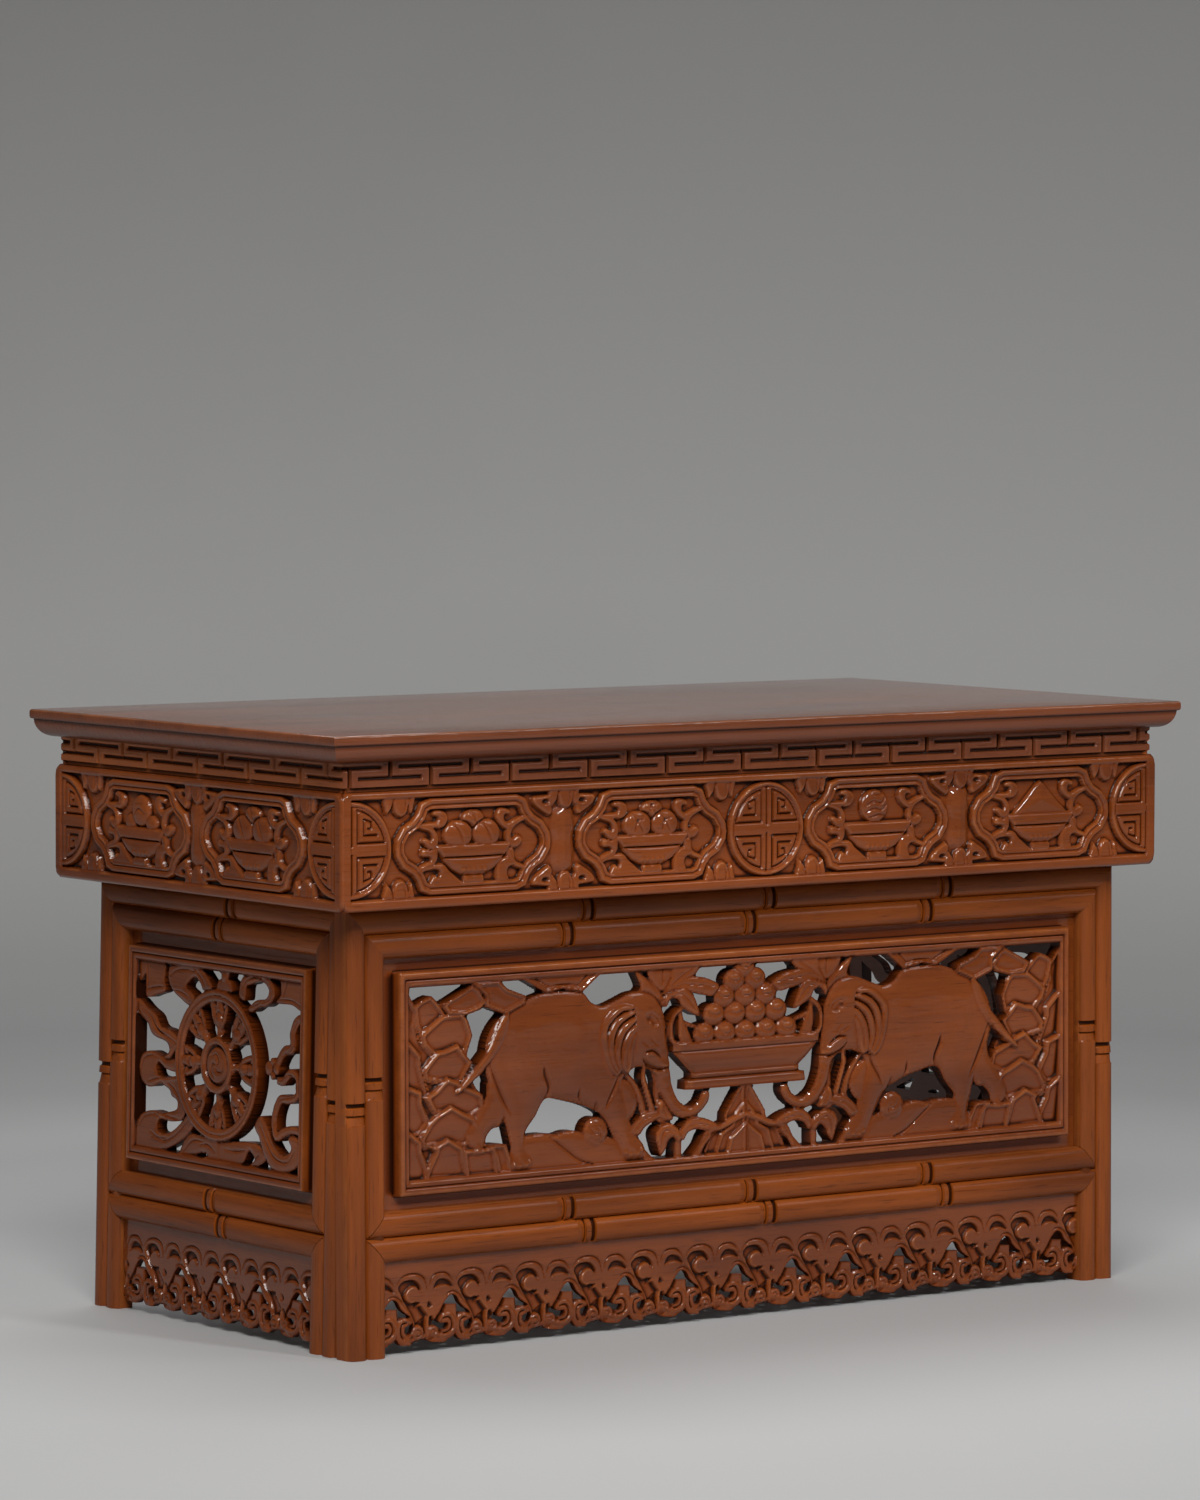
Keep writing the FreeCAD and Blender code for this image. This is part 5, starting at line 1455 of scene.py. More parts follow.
        sheet.lay(drawn("-55 210.4, -52.5 203.6, -50.7 199.1, -47.1 191.8, -44.4 184.1, -52.5 184.1, "
            "-55.7 189.1, -56.6 199.1"), -3.9, 1.3, 2.5)
        sheet.lay(stroke("-52.1 199.5, -47.5 198, -42.1 196.5", 3.6, 3, 2.4), -5, 1.4, 2)
        sheet.lay(drawn("-40 184, -36 196, -26 210, -17 222, -8 231, 0 240, 4 240, 4 184"), -7, 0.5, 4)
        for row, (height, count) in enumerate(((190.6, 5), (203.4, 4), (214.6, 3), (224.8, 2), (233.4, 1))):
            for place in range(count):
                x = (place - (count - 1) / 2) * 17.2
                if x > 9.5:
                    continue
                forward = 0.35 * (place % 2) - 0.25 * row
                sheet.lay(Disc((x, height), 9.2, 0.86), -5.6 + forward, 4.4, 9.2)
                cap = Disc((x - 0.6, height + 2.9), 4.9, 0.5)
                sheet.swell(cap, 0.55, 1)
                fold = numbers("-5.6 2.6, -3.6 0.5, 0 -0.3, 3.2 0.6, 5 2.6") + (x, height)
                sheet.score(Stroke(fold, (0.7, 1.2, 0.7)), 0.55)

    def build(self) -> None:
        """Model and dress the board."""
        sheet = self.panel.board_sheet(295, 13.6, 279.6, self.step)
        moulding, outside = sheet.height.copy(), sheet.open < 0
        sheet.height[~outside] = -12
        self.rocks(sheet)
        self.leaves(sheet)
        self.hills(sheet)
        self.bowl(sheet)
        self.saddle(sheet)
        self.elephant(sheet)
        sheet.height = np.where(outside, moulding, np.maximum(sheet.height, -8.4))
        sheet.keep_below(BOARD_FACE)
        sheet.mirror_left()
        self.panel.finish_carving(sheet, "carved_board", 12.6, "carved_panel")


# Aprons


class Heap(Enum):
    """What a bowl on the apron holds."""

    PEACHES = "peaches"
    JEWELS = "jewels"
    SHELL = "shell"
    CONE = "cone"
    PEARL = "pearl"


def box_place(side: str, reach: float) -> Matrix:
    """From a board's frame to the table's, the board's face standing on one side of a box.

    Args:
        side: front, right, back or left.
        reach: Distance of the board's face from the middle of the table.

    Returns:
        The matrix, from millimetres to metres.
    """
    turn = {"front": 0, "right": 90, "back": 180, "left": -90}[side]
    turned = Matrix.Rotation(math.radians(turn), 4, "Z")
    return Matrix.Scale(MM, 4) @ turned @ Matrix.Translation((0, -reach, 0))


@dataclass
class Apron:
    """One board of the carved apron: cartouches with bowls, round medallions, posts and leaf tufts."""

    side: str
    half: float
    reach: float
    heaps: tuple[tuple[float, Heap], ...]
    posts: tuple[float, ...]
    medallions: tuple[float, ...]
    tufts: tuple[float, ...]
    half_cartouche: float = 61.0
    low: float = 287.6
    high: float = 363.4
    middle: float = 326.6
    field_low: float = 295.1
    field_high: float = 357.9
    field_inset: float = 8.5
    corner: float = 8.0
    arris: float = 2.6
    step: float = 0.8

    RIM = ("-1 -8, 0 -2.6, 0.5 -1, 1.4 -0.35, 3 -0.4, 3.8 -0.9, 4.3 -1.9, 4.8 -1.9, 5.2 -1.1, 6 -0.8, "
        "6.8 -1.2, 7.5 -4.6, 9 -4.6")

    def border(self, sheet: ReliefCanvas) -> np.ndarray:
        """Raise the plain border around the field and round its edges.

        Args:
            sheet: The board's height map.

        Returns:
            Where the border is.
        """
        field = np.minimum(self.half - self.field_inset - np.abs(sheet.x),
                           np.minimum(sheet.z - self.field_low, self.field_high - sheet.z))
        across = np.abs(sheet.x) - (self.half - self.corner)
        up = np.abs(sheet.z - (self.low + self.high) / 2) - ((self.high - self.low) / 2 - self.corner)
        out = np.hypot(np.clip(across, 0, None), np.clip(up, 0, None)) + np.minimum(np.maximum(across, up), 0)
        sheet.open = out - self.corner - 1
        arris = self.arris
        near = np.clip(arris - (self.corner - out), 0, arris)
        rounded = arris - np.sqrt(np.clip(arris ** 2 - near ** 2, 0, None))
        face = -rounded - 1.6 * (1 - eased(-field / 1.4))
        sheet.height = np.where(field < 0, face, sheet.height)
        return field < 0

    def cartouche(self, sheet: ReliefCanvas, x: float) -> None:
        """Lay a cartouche's double frame."""
        share = self.half_cartouche / 61
        right = ("0 30.9, 34 30.9, 41 28.2, 44 21.5, 47.5 17.5, 55 13.2, 60.2 5.5, 61 0, 60.2 -5.5, "
            "55 -13.2, 47.5 -17.5, 44 -21.5, 41 -28.2, 34 -30.9, 0 -30.9")
        points = numbers(right) * (share, 1)
        points = np.vstack([points, (points * (-1, 1))[::-1][1:-1]]) + (x, self.middle)
        sheet.lay_profile(Outline(points, False), self.RIM)

    SCROLLS = (
        "-44.4 14.6, -33.8 15.1, -29.2 15.4, -27.1 17.1, -27.6 18.9, -29.6 19.5, -31.4 20.7, -29.6 22.7, "
         "-25.5 22.7, -21.3 20.9, -19.8 17.5, -21.5 13.7, -25.5 11.6, -30.8 11.9, -36.8 12.3, -43.6 12.8",
        "-43.3 12.8, -37.6 13.7, -33 12.8, -29.1 9.9, -27 5.4, -27.9 0.5, -31.4 -2, -35.3 -1, -37.6 1.7, "
         "-39.5 3.6, -37.9 5.5, -35.2 4.9, -33 3.9, -31.7 5.4, -32.1 7.5, -34.1 9.5, -37.9 10.8",
        "-38.6 -1.1, -33 -2, -29.2 -0.4, -27.6 -3, -27.7 -7.5, -30 -11.3, -35.3 -13.7, -41.4 -15.4, "
         "-45.2 -14.5, -37.2 -10.5, -33.3 -9.2, -32.9 -7.5, -34.8 -6.4, -38.6 -6.1, -40.2 -4.3",
        "-45.2 -15.2, -36.1 -12.8, -29.2 -11.1, -22.8 -11.6, -18.6 -15.8, -12.6 -20.4, -8.8 -24.9, "
         "-31.5 -24.9, -32.1 -20.4, -29.6 -18.3, -27.1 -19.6, -25.6 -17.5, -26.4 -15.4, -30 -14.5, "
         "-36.1 -15.1, -41.4 -16.6",
        "18.3 19, 20.4 22.2, 24.5 22.3, 28.9 20.5, 28.2 18.1, 25.5 18.6, 24.2 17.1, 24.8 14.5, 27.6 13.1, "
         "31.4 14.6, 35.9 16.1, 42.7 17.1, 42.7 14.5, 35.2 13.1, 29.8 9.3, 25.8 8.9, 21.2 11.7, 18.5 15.5",
        "42.7 15.1, 37 12.8, 32.7 10.4, 30.3 7.3, 29.7 4.2, 31.5 2.7, 33.6 4, 36.5 3.9, 38.5 2, 37.4 -0.7, "
         "34.4 -3, 30.3 -3.3, 27.3 -0.8, 25.6 3.1, 26.1 8, 28.2 11.1, 32.1 13.7, 38.2 15.8",
        "25.6 -3.3, 30.8 -3.3, 32.3 -6.4, 32.7 -10.2, 35.5 -13.1, 42.7 -15.8, 42 -18, 33.6 -15.8, "
         "28.8 -12.3, 26.5 -8.4",
        "18.1 -19.6, 18.3 -15.8, 20.5 -11.7, 25.3 -8.9, 28.8 -9.9, 32.6 -12.5, 35.2 -14.5, 30.2 -14.8, "
         "27.4 -16.3, 26.7 -19.2, 27.9 -24.6, 19.7 -24.8, 18 -22.2",
    )

    def scrolls(self, sheet: ReliefCanvas, x: float) -> None:
        """Lay the cloud scrolls on both sides of a bowl."""
        share = self.half_cartouche / 61
        for text in self.SCROLLS:
            sheet.lay(Outline(numbers(text) * (share, 1) + (x, self.middle)), -2.5, 1.4, 2.4, 3.2)

    def bowl(self, sheet: ReliefCanvas, x: float, heap: Heap) -> None:
        """Lay a bowl and what it holds.

        Args:
            sheet: The board's height map.
            x: Middle of the bowl.
            heap: What it holds.
        """
        z = self.middle

        def at(text: str) -> np.ndarray:
            return numbers(text) + (x, z)

        if heap is Heap.PEACHES or heap is Heap.JEWELS:
            for dx, dz, radius, squash in ((0.2, 16.8, 8.6, 0.66), (-11.4, 6.8, 11.2, 0.80),
                                           (10.6, 6.8, 10.6, 0.84)):
                centre = (x + dx, z + dz)
                sheet.sink(Disc(centre, radius + 0.9, squash), -4)
                sheet.lay(Disc(centre, radius, squash), -2.9, 2.8, 0.8 * radius, 3.2)
                cleft = np.array([(-0.35, 0.8 * squash), (0, 0.2), (0.3, -0.4)]) * radius
                sheet.score(Stroke(cleft + centre, (1.6, 2.2, 1)), 0.9)
                if heap is Heap.JEWELS:
                    sheet.score(Stroke(numbers("4 4.4, -1 2.4, -3 -3") + centre, (1.2, 1.8, 1.2)), 0.8)
        elif heap is Heap.SHELL:
            sheet.lay(Disc((x - 2, z + 11), 11.6, 0.94), -2.9, 2.8, 10.6, 3.2)
            for text in (
                    "-10 7, -4 9.5, 3 8.5, 8 12",
                    "-9.5 12, -4 14.5, 2 13, 6.5 16.5",
                    "-7 3.5, 0 5, 6 4.5",
                    "-3 19, 2 18.4, 5 20"):
                sheet.score(Stroke(at(text), (1.4, 2.2, 1.4)), 0.9)
        elif heap is Heap.CONE:
            sheet.lay_profile(Outline(at("-26 -1, -13 10.5, -4 19.8, 0 22.6, 4 19.8, 13 10.5, 26 -1"),
                False), "-1 -8, 0 -2.8, 1.2 -1.8, 6 -1, 11 -0.6")
        else:
            sheet.lay(Disc((x, z + 11.6), 10.4), -2.9, 2.8, 9, 3.2)
            sheet.score(Stroke(at("-6 9, -1 13, 6 10"), (1.2, 2, 1.2)), 0.8)
            sheet.lay(Disc((x - 12.5, z + 3.5), 6.6, 0.8), -3, 2.2, 6, 3.2)
            sheet.lay(Disc((x + 12.5, z + 3.5), 6.6, 0.8), -3, 2.2, 6, 3.2)
        body = Outline(at("-24.4 -6.4, -22.2 -10.5, -16.6 -15.4, -9 -18.8, 0 -19.8, 9 -18.8, 16.6 -15.4, "
            "22.2 -10.5, 24.4 -6.4"), False)
        sheet.lay(body, -2.6, 2.3, 11, 3.2)
        sheet.lay(Outline(at("-28.4 0.2, -28.2 -1.8, -23.6 -7.2, 23.6 -7.2, 28.2 -1.8, 28.4 0.2"), False),
            -1.1, 0.7, 2.2, 3.2)
        sheet.score(Stroke(at("-22.4 -7.2, 0 -7.6, 22.4 -7.2"), (1.2, 1.2, 1.2)), 0.8)
        for dx in (-8.2, -4.2, 0.2, 4.6, 8.4):
            sheet.swell(Disc((x + dx, z - 15.8), 2), 1.1, 1.5)
        sheet.lay(Outline(at("-7.2 -19.6, -7.6 -24, 7.6 -24, 7.2 -19.6"), False), -1.2, 0.5, 1, 3.2)

    def medallion(self, sheet: ReliefCanvas, x: float) -> None:
        """Lay a round long-life medallion with squared spirals cut in it."""
        sheet.lay_profile(Disc((x, self.middle), 31), "-1 -8, 0 -2.6, 0.5 -0.9, 1.2 -0.4, 2.4 -0.4, "
            "3.1 -1.7, 3.7 -1.7, 4.2 -0.8, 9 -0.6")
        arc = [(26 * math.cos(turn), 26 * math.sin(turn)) for turn in np.radians(np.linspace(10, 80, 9))]
        loop = np.array([(4.6, 4.6), (25.2, 4.6)] + arc + [(4.6, 25.2), (4.6, 4.6)])
        spiral = np.array([(19.6, 9.4), (9.4, 9.4), (9.4, 19.6), (15.4, 17.6), (15, 13.6), (12.6, 13.6)])
        for side, level in ((1, 1), (-1, 1), (1, -1), (-1, -1)):
            for path in (loop, spiral):
                points = path * (side, level) + (x, self.middle)
                sheet.score(Stroke(points, (1.7, 1.7), False), 1.5)
        sheet.score(Stroke(np.array([(x, self.middle - 27), (x, self.middle - 3)]), (1.7, 1.7), False), 1.5)
        sheet.score(Stroke(np.array([(x, self.middle + 3), (x, self.middle + 27)]), (1.7, 1.7), False), 1.5)

    def post(self, sheet: ReliefCanvas, x: float) -> None:
        """Lay the waisted plain post between two cartouches."""
        points = numbers("-8.6 18, -4 21.4, 0 23.4, 4 21.4, 8.6 18, 9.6 9, 9 0, 9.6 -9, 8.6 -18, 4 -21.4, "
            "0 -23.4, -4 -21.4, -8.6 -18, -9.6 -9, -9 0, -9.6 9") + (x, self.middle)
        sheet.lay_profile(Outline(points), "-1 -8, 0 -4.4, 1.6 -3.4, 4 -2, 9.5 -0.9")

    def tuft(self, sheet: ReliefCanvas, x: float, wide: bool) -> None:
        """Lay the leaf tufts above and below, at the field's edges.

        Args:
            sheet: The board's height map.
            x: Middle of the tufts.
            wide: Whether side leaves reach out on both sides, as over a post.
        """
        for level in (1, -1):
            parts = ["-4.9 31.9, -4.5 26.2, -2.8 22.5, 0.2 20.2, 3.7 20.7, 6 23.4, 6.9 26.6, 7.5 31.9",
                "-12.2 31.9, -11 26.6, -9.6 22, -7.7 23.9, -5.7 26.6, -5.1 31.9",
                "12 31.9, 11 26.6, 9.6 22, 7.7 24.2, 7.5 28.1, 8 31.9"]
            if wide:
                parts += ["8.9 29.6, 14.9 29, 24 28.1, 24.2 24.8, 20.8 21.3, 15.1 17.8, 11.4 16.3, "
                    "9.3 19.3, 9.9 22.8", "-8.9 29.6, -14.9 29, -24 28.1, -24.2 24.8, -20.8 21.3, "
                    "-15.1 17.8, -11.4 16.3, -9.3 19.3, -9.9 22.8"]
            for text in parts:
                sheet.lay(Outline(numbers(text) * (1, level) + (x, self.middle)), -2.4, 1.4, 2.4, 3.2)
            for dx in (-14.6, 14.6) if wide else ():
                sheet.sink(Disc((x + dx, self.middle + level * 25.2), 2.6, 0.6), -3.6)
            for dx in (-4.4, 4.4):
                points = np.array([[dx, 31], [dx * 1.1, 27], [dx * 0.8, 23.4]]) * (1, level)
                sheet.score(Stroke(points + (x, self.middle), (0.8, 1.6, 0.8)), 0.7)

    def build(self) -> None:
        """Model and dress the board."""
        sheet = ReliefCanvas(-self.half, self.half, self.low, self.high, self.step, -4.6)
        for x in self.tufts:
            self.tuft(sheet, x, x in self.posts)
        for x in self.posts:
            self.post(sheet, x)
        for x in self.medallions:
            self.medallion(sheet, x)
        for x, heap in self.heaps:
            self.cartouche(sheet, x)
            self.scrolls(sheet, x)
            self.bowl(sheet, x, heap)
        sheet.keep_below(-0.15)
        inside = sheet.height.copy()
        border = self.border(sheet)
        sheet.height = np.where(border, sheet.height, inside)
        board = sheet.build(self.side + "_apron_carved", 15, box_place(self.side, self.reach), 15)
        axis = GrainAxis.ALONG_X if self.side in ("front", "back") else GrainAxis.ALONG_Y
        wood = VarnishedWood(CARVED, axis)
        finished(board, "top", "carved_wood", wood.make(), self.side + "_apron", angle=50)


# Wheel boards


@dataclass
class WheelBoard:
    """A side's pierced board: an eight-spoked wheel among ribbons."""

    panel: PanelPlace
    flip: int
    step: float = 0.75
    middle: float = 173.4
    radius: float = 49.5

    def ribbon(self, sheet: ReliefCanvas, text: str, level: float, folds: tuple[str, ...],
               rise: float = 1.5) -> None:
        """Lay one ribbon with rolled edges and its folds.

        Args:
            sheet: The board's height map.
            text: Its outline.
            level: Height of its edge.
            folds: Lines scored along it.
            rise: How much its middle stands up.
        """
        shape = drawn(text)
        sheet.lay(shape, level, rise, 3.2, 3)
        for fold in folds:
            sheet.score(stroke(fold, 0.8, 1.8, 0.8), 0.8)

    def ribbons(self, sheet: ReliefCanvas) -> None:
        """Lay the cloths and ribbons around the wheel."""
        self.ribbon(sheet, "-95.9 238, -67.8 238, -66.7 223.5, -65.8 217, -75 214, -88.6 211.7, "
            "-89.7 226.2, -95.9 221.7", -5.6,
            ("-89.1 216.1, -77.7 218.5, -66.4 219.7", "-87.7 234.4, -87.5 225.3, -86.8 217.2"), 1)
        self.ribbon(sheet, "-61.4 229.9, -56.9 234.8, -43.3 237.1, -27 238, -16.1 231.7, -8 223.1, "
            "-18.9 221.3, -22.5 225.3, -28.8 229.1, -35.2 226.2, -39.2 221.7, -32.4 218.3, -28.8 214, "
            "-35.2 209.9, -46.9 214, -54.2 217.4, -59.6 222.2", -5,
            ("-57.8 228.1, -50.6 231.7, -39.7 233, -28.8 232.6", "-52.4 218.5, -45.1 217.6, -36.1 215.4",
            "-28.8 234.4, -20.7 228.1, -16.1 223.5"))
        self.ribbon(sheet, "-97.7 209.9, -85.9 204.3, -75.9 200.2, -69.6 193.4, -58.7 191.6, -46.9 186.4, "
            "-46.9 180.9, -52.4 178.2, -58.7 172.8, -67.8 172.3, -60.1 176.4, -59.8 180.5, -64.2 183.8, "
            "-75 185.5, -81.4 188.2, -86.8 194.5, -97.7 200.9", -5.4,
            ("-92.2 204, -81.4 199.1, -74.1 190.9, -61.4 187.3, -50.6 183.7",
            "-79.5 196.3, -70.5 189.1, -59.6 185.5"))
        self.ribbon(sheet, "-94.5 165.6, -90.4 173.2, -79.5 176, -66.9 173, -61.4 171.2, -46.9 173.2, "
            "-46.9 165.1, -61.4 165.4, -66 167.4, -71.2 169.4, -73.4 165.6, -70.5 160.3, -59.6 160.3, "
            "-46.9 162.1, -46.9 158.3, -67.8 156, -77.7 152.4, -85.9 152.4, -92.7 157.4", -5,
            ("-92.2 162.8, -89.5 170.1, -79.5 173.2, -70.5 171.9", "-83.2 155.6, -70.5 158.8, -56 159.2"))
        self.ribbon(sheet, "-68.7 157.9, -46.9 161, -41.5 149.2, -37.9 142, -43.3 133.4, -54.2 133.4, "
            "-65.1 135.5, -50.6 139.3, -48.3 143.8, -50.6 146.5, -56 148.3, -58.7 152.1, -66.9 155.1", -5.6,
            ("-59.6 156.5, -52.4 152.9, -46 145.6, -46.9 138.4",))
        self.ribbon(sheet, "-97.2 124.8, -91.3 132.5, -79.5 136.4, -67.8 135.7, -59.6 134.3, -46 132.9, "
            "-55.1 131.3, -67.3 132, -70.9 128.4, -69.6 123.4, -59.6 123, -50.6 126.4, -41.5 132.5, "
            "-32.4 139.3, -26.1 133.8, -34.3 124.8, -45.1 118.6, -57.8 113.5, -70.5 110.3, -84.1 109.4, "
            "-96.8 109.4", -4.8, ("-92.2 126.6, -86.8 132, -75.9 134.3, -68.7 133.4",
            "-76.8 119.4, -61.4 118, -46.9 124.3, -34.3 133.8", "-79.5 123, -70.5 119.4, -58.7 120.3"))
        self.ribbon(sheet, "-44.2 109.4, -39.7 119.4, -31.5 125.5, -19.8 125.5, -7.1 127.5, 3.8 123, "
            "3.8 109.4, -16.1 109.4, -10.7 113.5, -18 114.4, -27 112.1", -5.2,
            ("-38.8 113.9, -28.8 121.2, -16.1 122.1", "-19.8 119.4, -10.7 120.3, -1.7 116.6"))
        self.ribbon(sheet, "2.3 123, 13.2 124.8, 26.8 126.1, 40.4 127.1, 53.1 124.8, 58.5 118.4, "
            "47.6 112.1, 39.5 112.1, 44 116.6, 37.7 121.2, 31.3 113, 24.1 110.3, 2.3 110.3", -5.4,
            ("9.6 119.4, 22.3 119.4, 33.1 121.2", "42.2 114.8, 49.4 119.4"))
        self.ribbon(sheet, "23.6 221.7, 25.2 229.9, 30.4 234.6, 44 236.4, 56.7 235.8, 64.8 229.9, "
            "64.4 222.6, 55.3 216.7, 47.6 215.7, 38.6 211.7, 34.9 213.6, 44 219.7, 54.9 221.7, 58.7 226.7, "
            "54.9 230.9, 47.6 232.6, 37.7 229.7, 32.4 227.9, 31.1 219.7, 27.7 218.5", -4.8,
            ("27.7 226.2, 33.1 232.1, 45.8 234.4, 58.5 231.7", "51.2 218.5, 60.3 222.6, 61.7 228.1",
            "39.5 215.4, 47.6 218.5"))
        self.ribbon(sheet, "73 238, 99.3 238, 99.3 217.2, 83.9 220.1, 66.6 220.1, 71.2 226.2", -5.4,
            ("78.4 234.4, 73.9 225.3", "69.4 222.6, 83.9 222.6, 96.5 219.4"), 1)
        sheet.lay(stroke("69.4 180.5, 73.4 186.4, 78.4 190.5, 86.1 192.7, 86.6 203.6, 92 210.8, 99.3 212.7",
            5.5, 6, 6.4, 5.6), -5.4, 1.8, 3)
        sheet.score(stroke("74.8 186.4, 86.6 192.7, 87.5 203.6, 92.9 210.8", 0.8, 1.6, 0.8), 0.8)
        sheet.lay(stroke("71.2 170.1, 76.6 170.1, 83.9 176, 91.1 174.6, 92.9 168.3, 92 161.9, 83 158.8, "
            "73.9 158.3, 68.5 151.1, 66.6 142, 69.4 133.8, 78.4 137.5, 87.5 139.7, 99.3 139.3", 5, 5.6, 5,
            6, 6, 5), -5.2, 1.8, 3)
        sheet.score(stroke("73.9 171, 83.9 175.1, 91.1 171, 90.2 161.9, 73.9 158.3, 68.5 149.2, 68.5 137.5",
            0.8, 1.6, 1.6, 0.8), 0.8)
        for x, z, radius in ((60.306, 177.326, 4.6), (68.911, 177.326, 3.6), (64.835, 181.855, 2.6),
                             (64.835, 172.797, 2.6)):
            sheet.lay(Disc((x, z), radius), -4.6, 1.8, radius)
        self.ribbon(sheet, "44.9 138.4, 52.2 145.6, 60.3 138.4, 66.2 129.3, 73.9 123.4, 83 123.4, "
            "87.5 128, 83.9 133.8, 90.2 136.1, 99.3 132, 99.3 122.1, 92 115.3, 78.4 111.2, 65.7 112.6, "
            "55.8 121.2, 50.3 131.1", -4.6, ("52.2 139.3, 59.4 128.4, 69.4 119.4, 83 118.4, 92 126.6",
            "56.7 139.3, 63.9 128.4, 74.8 121.2"))
        sheet.lay(drawn("-1.7 222.6, -0.8 229, 3.2 231.2, 0.5 238, 13.2 238, 10.5 231.2, 14.1 229, "
            "14.6 222.6"), -5, 1.6, 3)
        sheet.lay(Disc((6.411, 232), 3.2), -4.2, 1.6, 3.2)

    def wheel(self, sheet: ReliefCanvas) -> None:
        """Lay the rim, the spokes with their buds and the hub with its swirl."""
        centre = (0, self.middle)
        for number in range(8):
            turn = math.radians(number * 45)
            out = np.array([math.cos(turn), math.sin(turn)])
            frame = np.array([out, (-out[1], out[0])])

            def turned(text: str) -> np.ndarray:
                return numbers(text) @ frame + centre

            sheet.lay(Outline(turned("17 -2.6, 24 -4.2, 31 -6.6, 38 -9.2, 43 -10, 43 10, 38 9.2, 31 6.6, "
                "24 4.2, 17 2.6"), False), -7.4, 1.2, 2, 3)
            sheet.lay(Stroke(turned("17 0, 22 0, 28 0, 35 0, 43 0"), (5.4, 4, 5.4, 7.6, 6)), -5.2, 1.8, 3, 3)
            for leaf in (
                    "25 -2.2, 30 -5.6, 35 -7.4, 40 -8.6, 38.6 -5.2",
                    "25 2.2, 30 5.6, 35 7.4, 40 8.6, 38.6 5.2"):
                sheet.lay(Stroke(turned(leaf), (2.4, 4, 4, 3.4, 2.4)), -5.6, 1.6, 1.8, 3)
            sheet.lay(Disc(tuple(turned("30 0")[0]), 3.8), -4.4, 1.9, 3.6)
            sheet.score(Stroke(turned("33.6 -2.6, 35.4 0, 33.6 2.6"), (1.2, 1.6, 1.2)), 0.9)
        sheet.lay_profile(Disc(centre, self.radius), "-1.4 -9, 0 -3.4, 0.7 -2.3, 2.2 -2, 3.2 -2.5, "
            "3.7 -3.3, 4.3 -2.6, 6.2 -2.5, 7.2 -3.2, 8 -5, 8.9 -9, 9 -20, 60 -20", covers=False)
        gap = self.radius - np.hypot(sheet.x, sheet.z - self.middle)
        sheet.cover = np.maximum(sheet.cover, np.minimum(gap, 8.2 - gap))
        sheet.lay_profile(Disc(centre, 18.8), "-1 -9, 0 -3.6, 0.6 -2.4, 1.6 -1.9, 4 -1.9, 4.8 -3, "
            "5.4 -4.6, 6.4 -4.8, 7.2 -3.6, 8 -2.6, 12 -2.1")
        for turn in (20, 140, 260):
            path = [np.array(centre) + reach * np.array([math.cos(math.radians(turn + swing)),
                                                         math.sin(math.radians(turn + swing))])
                    for reach, swing in ((1.5, 0), (4.5, 30), (7.4, 75), (8.6, 120))]
            sheet.score(Stroke(np.array(path), (1.2, 2.2, 1.8, 0.8)), 0.95)

    def build(self) -> None:
        """Model and dress the board."""
        sheet = self.panel.board_sheet(118, 11.9, 105.1, self.step)
        moulding, outside = sheet.height.copy(), sheet.open < 0
        sheet.height[~outside] = -12
        self.ribbons(sheet)
        self.wheel(sheet)
        sheet.height = np.where(outside, moulding, np.maximum(sheet.height, -8))
        sheet.keep_below(BOARD_FACE)
        if self.flip > 0:
            sheet.turn_round()
        self.panel.finish_carving(sheet, "carved_board", 11.6, "carved_panel")


# Skirts


